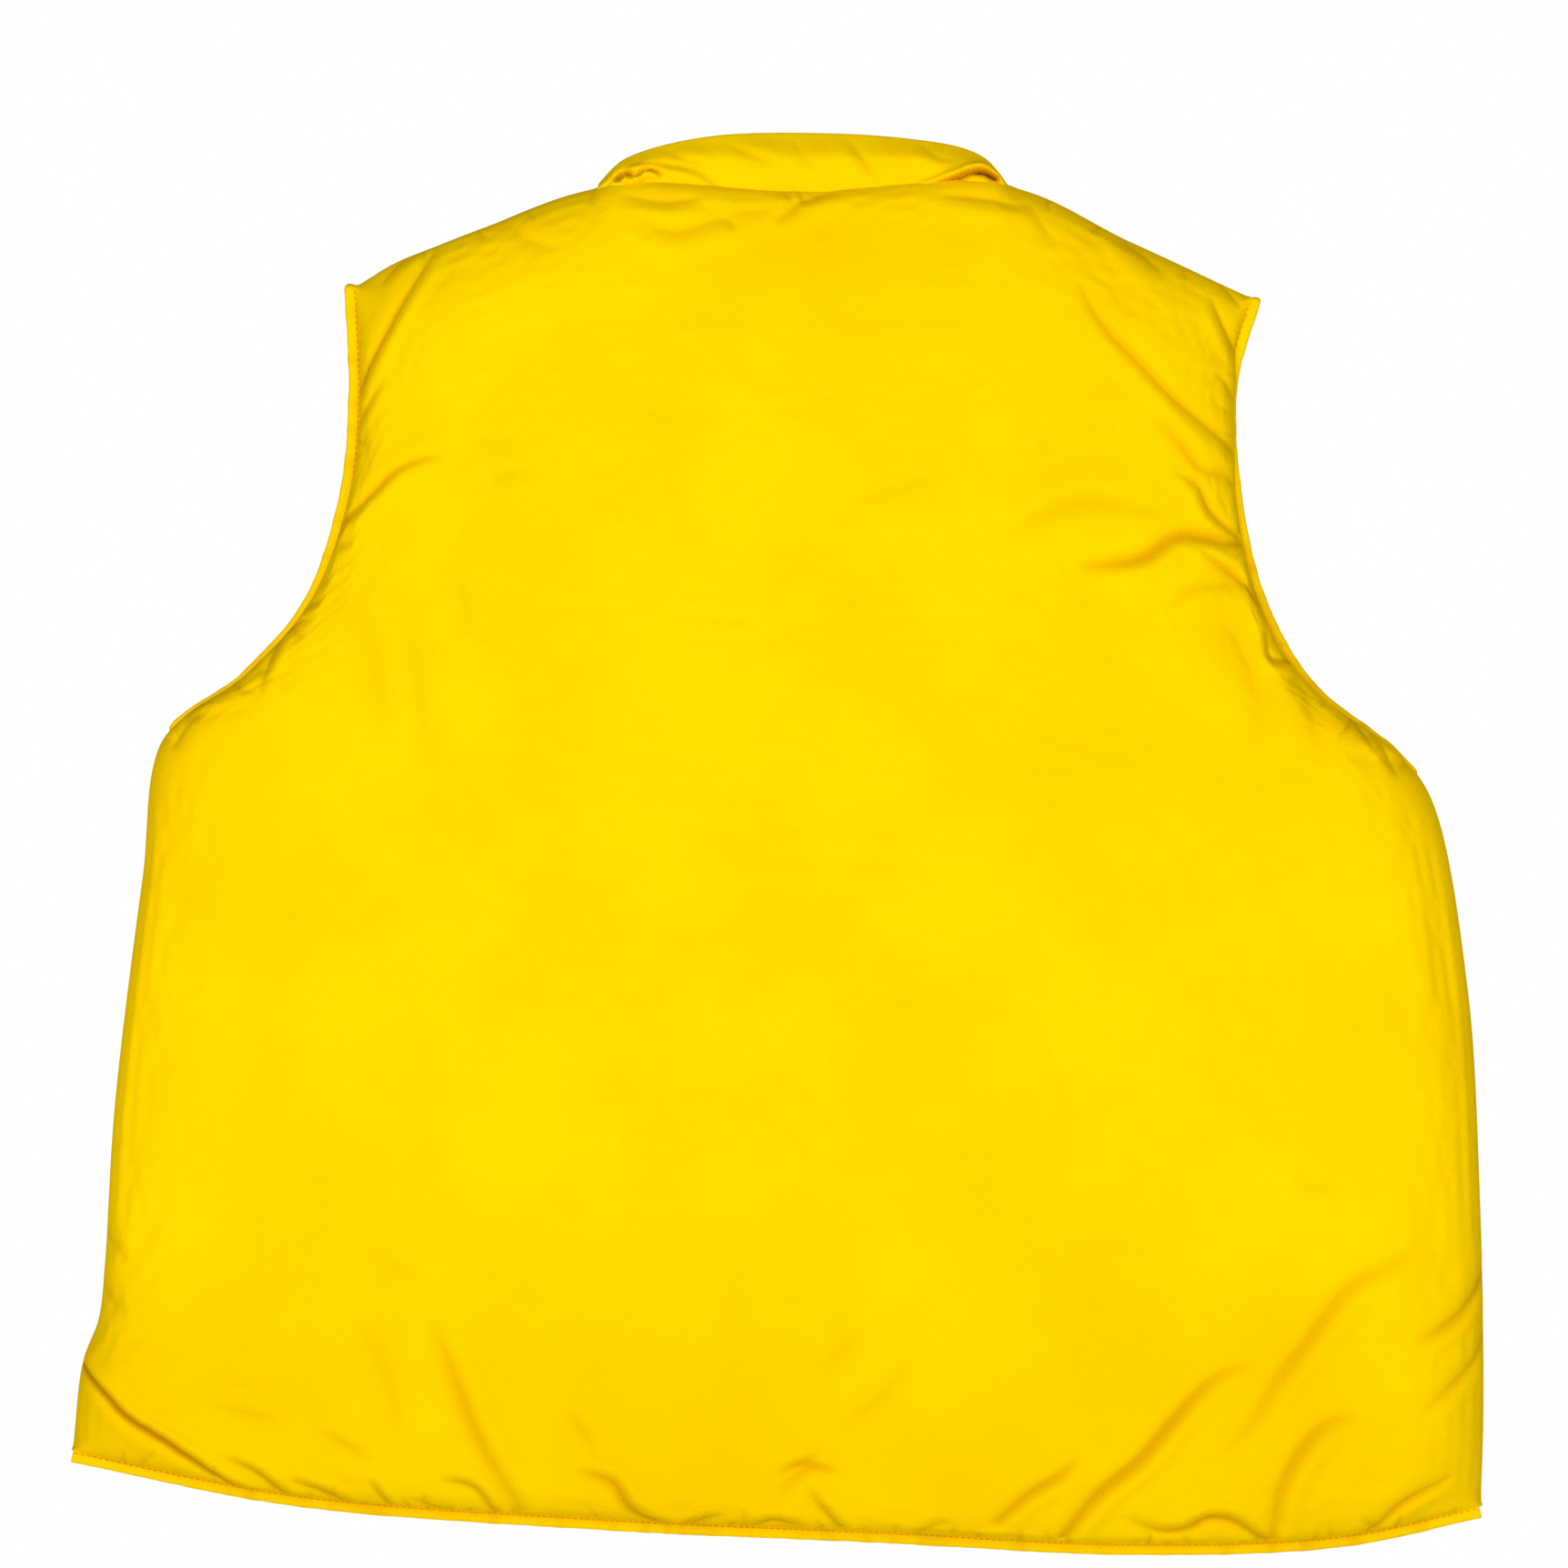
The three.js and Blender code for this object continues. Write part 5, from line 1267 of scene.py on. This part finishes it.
def zip_teeth(word, sign):
    """One side's moulded teeth, half a pitch lower on the right so that they mesh."""
    rows = np.arange(TEETH_TOP - (0.5 * TOOTH_PITCH if sign > 0 else 0), TEETH_FOOT, -TOOTH_PITCH)
    outline = TOOTH + [(a, -b) for a, b in TOOTH[::-1]]
    count = len(outline)

    def change(bm):
        for row in rows:
            levels = []
            for depth, grow in TOOTH_SLICES:
                levels.append([bm.verts.new((sign * (1.6 + (a - 1.6) * (0.9 + 0.1 * grow)) * MM,
                                             (TEETH_LEVEL + depth) * MM, (row + b * grow) * MM))
                               for a, b in outline])
            for lower, upper in zip(levels, levels[1:]):
                for k in range(count):
                    m = (k + 1) % count
                    bm.faces.new((lower[k], lower[m], upper[m], upper[k]))
            bm.faces.new(levels[0][::-1])
            bm.faces.new(levels[-1])

    name = f"zip_teeth_row_{word}"
    teeth = in_scene(name, bpy.data.meshes.new(name))
    reworked(teeth, change)
    dressed(teeth, RESIN)
    stands_for(teeth, f"front_{word}", "zip_resin", f"zip_teeth_{word}")


for word, side in SIDES.items():
    zip_tape(word, side["sign"])
    zip_teeth(word, side["sign"])


# ---------------------------------------------------------------- turned and swept parts

def lathe(name, profile, centre, axis, segments, look):
    """A turned part about an upright (2) or a front-facing (1) axis, profile in millimetres."""
    p = np.array(profile, float) * MM
    turn = np.linspace(0, 2 * np.pi, segments, endpoint=False)
    points = np.zeros((segments, len(p), 3))
    c, s = np.cos(turn)[:, None], np.sin(turn)[:, None]
    flat_axes = (0, 1) if axis == 2 else (0, 2)
    points[..., flat_axes[0]] = p[None, :, 0] * c
    points[..., flat_axes[1]] = p[None, :, 0] * s
    points[..., axis] = p[None, :, 1]
    points += np.array(centre, float) * MM
    obj = grid_mesh(name, points, loop=True)
    reworked(obj, lambda bm: bmesh.ops.remove_doubles(bm, verts=bm.verts, dist=1e-6))
    return dressed(obj, look)


def carried(node, look, width, segments, slot):
    """A CAD part that is shown as it is, with its edges softened and its own material."""
    obj = frame["nodes"][node]
    dressed(obj, look)
    bevel = obj.modifiers.new("soft edges", "BEVEL")
    bevel.width, bevel.segments, bevel.limit_method = width * MM, segments, "ANGLE"
    bevel.angle_limit = math.radians(32)
    normal = obj.modifiers.new("even shading", "WEIGHTED_NORMAL")
    normal.keep_sharp = True
    for polygon in obj.data.polygons:
        polygon.use_smooth = True


for part in [("zip_slider", ZIP_METAL, 0.35, 3, "zip_metal"),
             ("zip_pull", ZIP_METAL, 0.4, 3, "zip_metal"),
             ("zip_pin", ZIP_METAL, 0.3, 2, "zip_metal"),
             ("zip_box", ZIP_METAL, 0.4, 2, "zip_metal"),
             ("inflator_head", BLACK, 1.0, 4, "black_plastic"),
             ("inflator_lever", RED, 0.7, 3, "red_plastic"),
             ("pull_handle", RED, 1.2, 4, "red_plastic"),
             ("inflator_manifold", RUBBER, 0.6, 3, "rubber"),
             ("oral_flange", RUBBER, 0.6, 3, "rubber")]:
    carried(*part)


def box_of(name):
    """The lowest corner, the middle and the highest corner of a CAD node, in millimetres."""
    low, high = (np.array(corner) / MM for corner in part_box(name))
    return low, (low + high) / 2, high


def gas_cylinder():
    low, middle, _ = box_of("co2_cylinder")
    dome = [(math.cos(a) * 9.5 + 3.0, 94 + math.sin(a) * 9.5) for a in np.linspace(0.05, 1.45, 9)]
    profile = [(0, 0), (6.2, 0), (6.5, 0.4), (6.5, 7.6), (7.1, 9.0), (8.6, 11.4), (10.4, 14.6),
               (11.7, 18.0), (12.3, 21.0), (12.5, 24.0), (12.5, 60), (12.5, 93)] + dome
    piece = lathe("gas_cylinder", profile + [(2.0, 103.9), (0, 104)],
                  (middle[0], middle[1], low[2]), 2, 96, STEEL)
    stands_for(piece, "front_left", "cylinder_steel", "co2_cylinder")


def inflator_patch():
    """The sewn ring of cloth round the manifold, with two raised rings on it."""
    low, middle, _ = box_of("inflator_patch")
    profile = [(9.2, 0), (9.2, 1.1), (12, 1.15), (22.5, 1.15), (23.2, 1.45), (25.6, 1.45),
               (26.3, 1.05), (28.6, 1.0), (29.2, 1.3), (31.2, 1.25), (32, 0.7), (32, 0), (9.2, 0)]
    piece = lathe("inflator_patch_cloth", profile, (middle[0], low[1], middle[2]), 1, 96, BINDING)
    layer = piece.data.uv_layers.new(name="cloth")
    corners = np.zeros(len(piece.data.loops), np.int32)
    piece.data.loops.foreach_get("vertex_index", corners)
    places = np.array([v.co for v in piece.data.vertices])
    layer.data.foreach_set("uv", places[corners][:, [0, 2]].astype(np.float32).ravel())
    stands_for(piece, "front_left", "shell_nylon", "inflator_patch")


def pull_strap():
    low, (x, y, z), high = box_of("pull_strap")
    line, _ = way([(x, y, high[2]), (x, y, z), (x, y, low[2])], 60)
    sideways, forwards = (np.tile(d, (len(line), 1)) for d in ([1.0, 0, 0], [0.0, 1.0, 0.0]))
    piece = strap("pull_webbing", line, sideways, forwards, 12 * MM, 1.5 * MM, RED_WEB, 8)
    stands_for(piece, frame["nodes"]["pull_strap"]["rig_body"], "red_webbing", "pull_strap")


def tube(name, points, radius, look, around=40, n=240):
    """A round tube through 3-D points, with its radius in millimetres."""
    row, heading = way(points, n)
    side_way = np.cross(heading, [1.0, 0, 0])
    side_way /= np.linalg.norm(side_way, axis=1, keepdims=True)
    other = np.cross(heading, side_way)
    turn = np.linspace(0, 2 * np.pi, around, endpoint=False)
    ring = (side_way[:, None] * np.cos(turn)[None, :, None]
            + other[:, None] * np.sin(turn)[None, :, None])
    return dressed(closed_mesh(name, row[:, None] + ring * radius * MM), look)


def oral_hose():
    """The hose comes forward out of its flange, turns upwards and ends at the mouthpiece."""
    y = box_of("oral_valve_body")[1][1]
    start = 43.4    # just in front of the oral flange
    piece = tube("oral_hose", [(124, start, -405), (124, start + 3, -405),
                               (124, start + 8.5, -401), (123, start + 10, -390),
                               (120, y + 1.5, -363), (112, y, -320), (105, y, -280),
                               (102, y, -250), (102, y, -215.3)], 5.9, RUBBER)
    stands_for(piece, "front_right", "rubber", "oral_tube")


def mouthpiece():
    low, (x, y, _), _ = box_of("oral_valve_body")
    ribs = []
    for k in range(5):
        z = 1.4 + k * 1.8
        ribs += [(7.9, z), (7.9, z + 0.8), (7.35, z + 1.0), (7.35, z + 1.6)]
    neck = [(7.9, 10.4), (7.2, 11.4), (6.5, 12.2), (6.4, 20), (6.5, 25.4), (6.3, 26.6)]
    bore = [(5.8, 28), (5.4, 27.9), (5.2, 27.2), (5.2, 6), (0, 6)]
    piece = lathe("oral_mouthpiece", [(0, 0), (7.0, 0), (7.6, 0.3)] + ribs + neck + bore,
                  (x, y, low[2]), 2, 80, BLACK)
    stands_for(piece, "front_right", "black_plastic", "oral_valve_body")


def plunger():
    """The plunger stands in the mouthpiece's bore, on the same axis."""
    x, y, _ = box_of("oral_valve_body")[1]
    low, _, high = box_of("oral_valve_plunger")
    tall = high[2] - low[2]
    profile = [(0, 0), (3.1, 0), (3.4, 0.3), (3.4, tall - 3.4), (2.9, tall - 3.0),
               (2.9, tall - 2.2), (3.4, tall - 1.8), (3.4, tall - 0.5), (3.0, tall - 0.05),
               (1.6, tall), (1.3, tall - 0.4), (0, tall - 0.5)]
    piece = lathe("oral_plunger", profile, (x, y, low[2]), 2, 64, RED)
    stands_for(piece, "plunger", "red_plastic", "oral_valve_plunger")


def keeper():
    """The elastic that bows over the hose and is sewn down on both sides of it."""
    x, y, _ = box_of("oral_valve_body")[1]
    low, (_, _, z), _ = box_of("tube_keeper")
    sewn, bow = low[1] + 0.75, 6 + 0.9 + 0.75
    arch = [(x - bow * math.cos(a), y + bow * math.sin(a), z)
            for a in np.linspace(0.1, math.pi - 0.1, 13)]
    foot = [(17, sewn), (12, sewn), (bow + 0.2, sewn + 0.9), (bow, y - 4)]
    line, heading = way([(x - across, depth, z) for across, depth in foot] + arch
                        + [(x + across, depth, z) for across, depth in foot[::-1]], 200)
    upwards = np.tile([0.0, 0.0, 1.0], (len(line), 1))
    piece = strap("hose_keeper", line, upwards, np.cross(heading, upwards), 14 * MM, 1.4 * MM,
                  ELASTIC, 9)
    stands_for(piece, "front_right", "woven_tape", "tube_keeper")


for make in (gas_cylinder, inflator_patch, pull_strap, oral_hose, mouthpiece, plunger, keeper):
    make()


# ---------------------------------------------------------------- light, floor and camera

scene = bpy.context.scene
scene.view_settings.view_transform = "Standard"
world = bpy.data.worlds.new("studio")
scene.world = world
world.use_nodes = True
tree = world.node_tree
tree.nodes.clear()
upright = tree.nodes.new("ShaderNodeTexCoord").outputs["Generated"]
height = node(tree, "SeparateXYZ", 2, {0: upright})
white = (1, 1, 1, 1)
room = node(tree, "Background", 0, {"Color": white, "Strength": rescale(tree, height, -0.7, 0.7,
                                                                        0.50, 0.31)})
wall = node(tree, "Background", 0, {"Color": white, "Strength": 1.0})
seen = tree.nodes.new("ShaderNodeLightPath").outputs["Is Camera Ray"]
mixed = node(tree, "MixShader", 0, {0: seen, 1: room, 2: wall})
put(tree, tree.nodes.new("ShaderNodeOutputWorld").inputs[0], mixed)


def softbox(name, place, size, energy, target=(0, 0, -0.33)):
    light = bpy.data.lights.new(name, "AREA")
    light.shape, light.size, light.size_y, light.energy = "RECTANGLE", size[0], size[1], energy
    obj = in_scene(name, light)
    obj.location = place
    obj.rotation_mode = "QUATERNION"
    obj.rotation_quaternion = (Vector(target) - Vector(place)).to_track_quat("-Z", "Y")


softbox("key_behind", (-0.9, -3.4, -1.05), (1.8, 1.8), 74)
softbox("fill_behind", (1.0, -3.0, 0.7), (1.8, 1.8), 33)
softbox("key_front", (0.9, 2.5, 0.3), (1.4, 1.4), 42)
softbox("fill_front", (-1.2, 2.5, -0.4), (1.6, 1.6), 20)

bm = bmesh.new()
bmesh.ops.create_grid(bm, x_segments=1, y_segments=1, size=1.0)
mesh = bpy.data.meshes.new("floor")
bm.to_mesh(mesh)
bm.free()
floor = in_scene("floor", mesh)
floor.location = (0, 0, FLOOR_LEVEL)
dressed(floor, hard("floor_paint", (0.86, 0.86, 0.86), (0.82, 0.82, 0.82), 0.8, grain=60))

camera = in_scene("camera", bpy.data.cameras.new("camera"))
camera.data.lens, camera.data.sensor_width = 100, 36
camera.location = (-0.0106, -2.2028, -0.2967)
camera.rotation_euler = (math.pi / 2, 0, 0)
scene.camera = camera
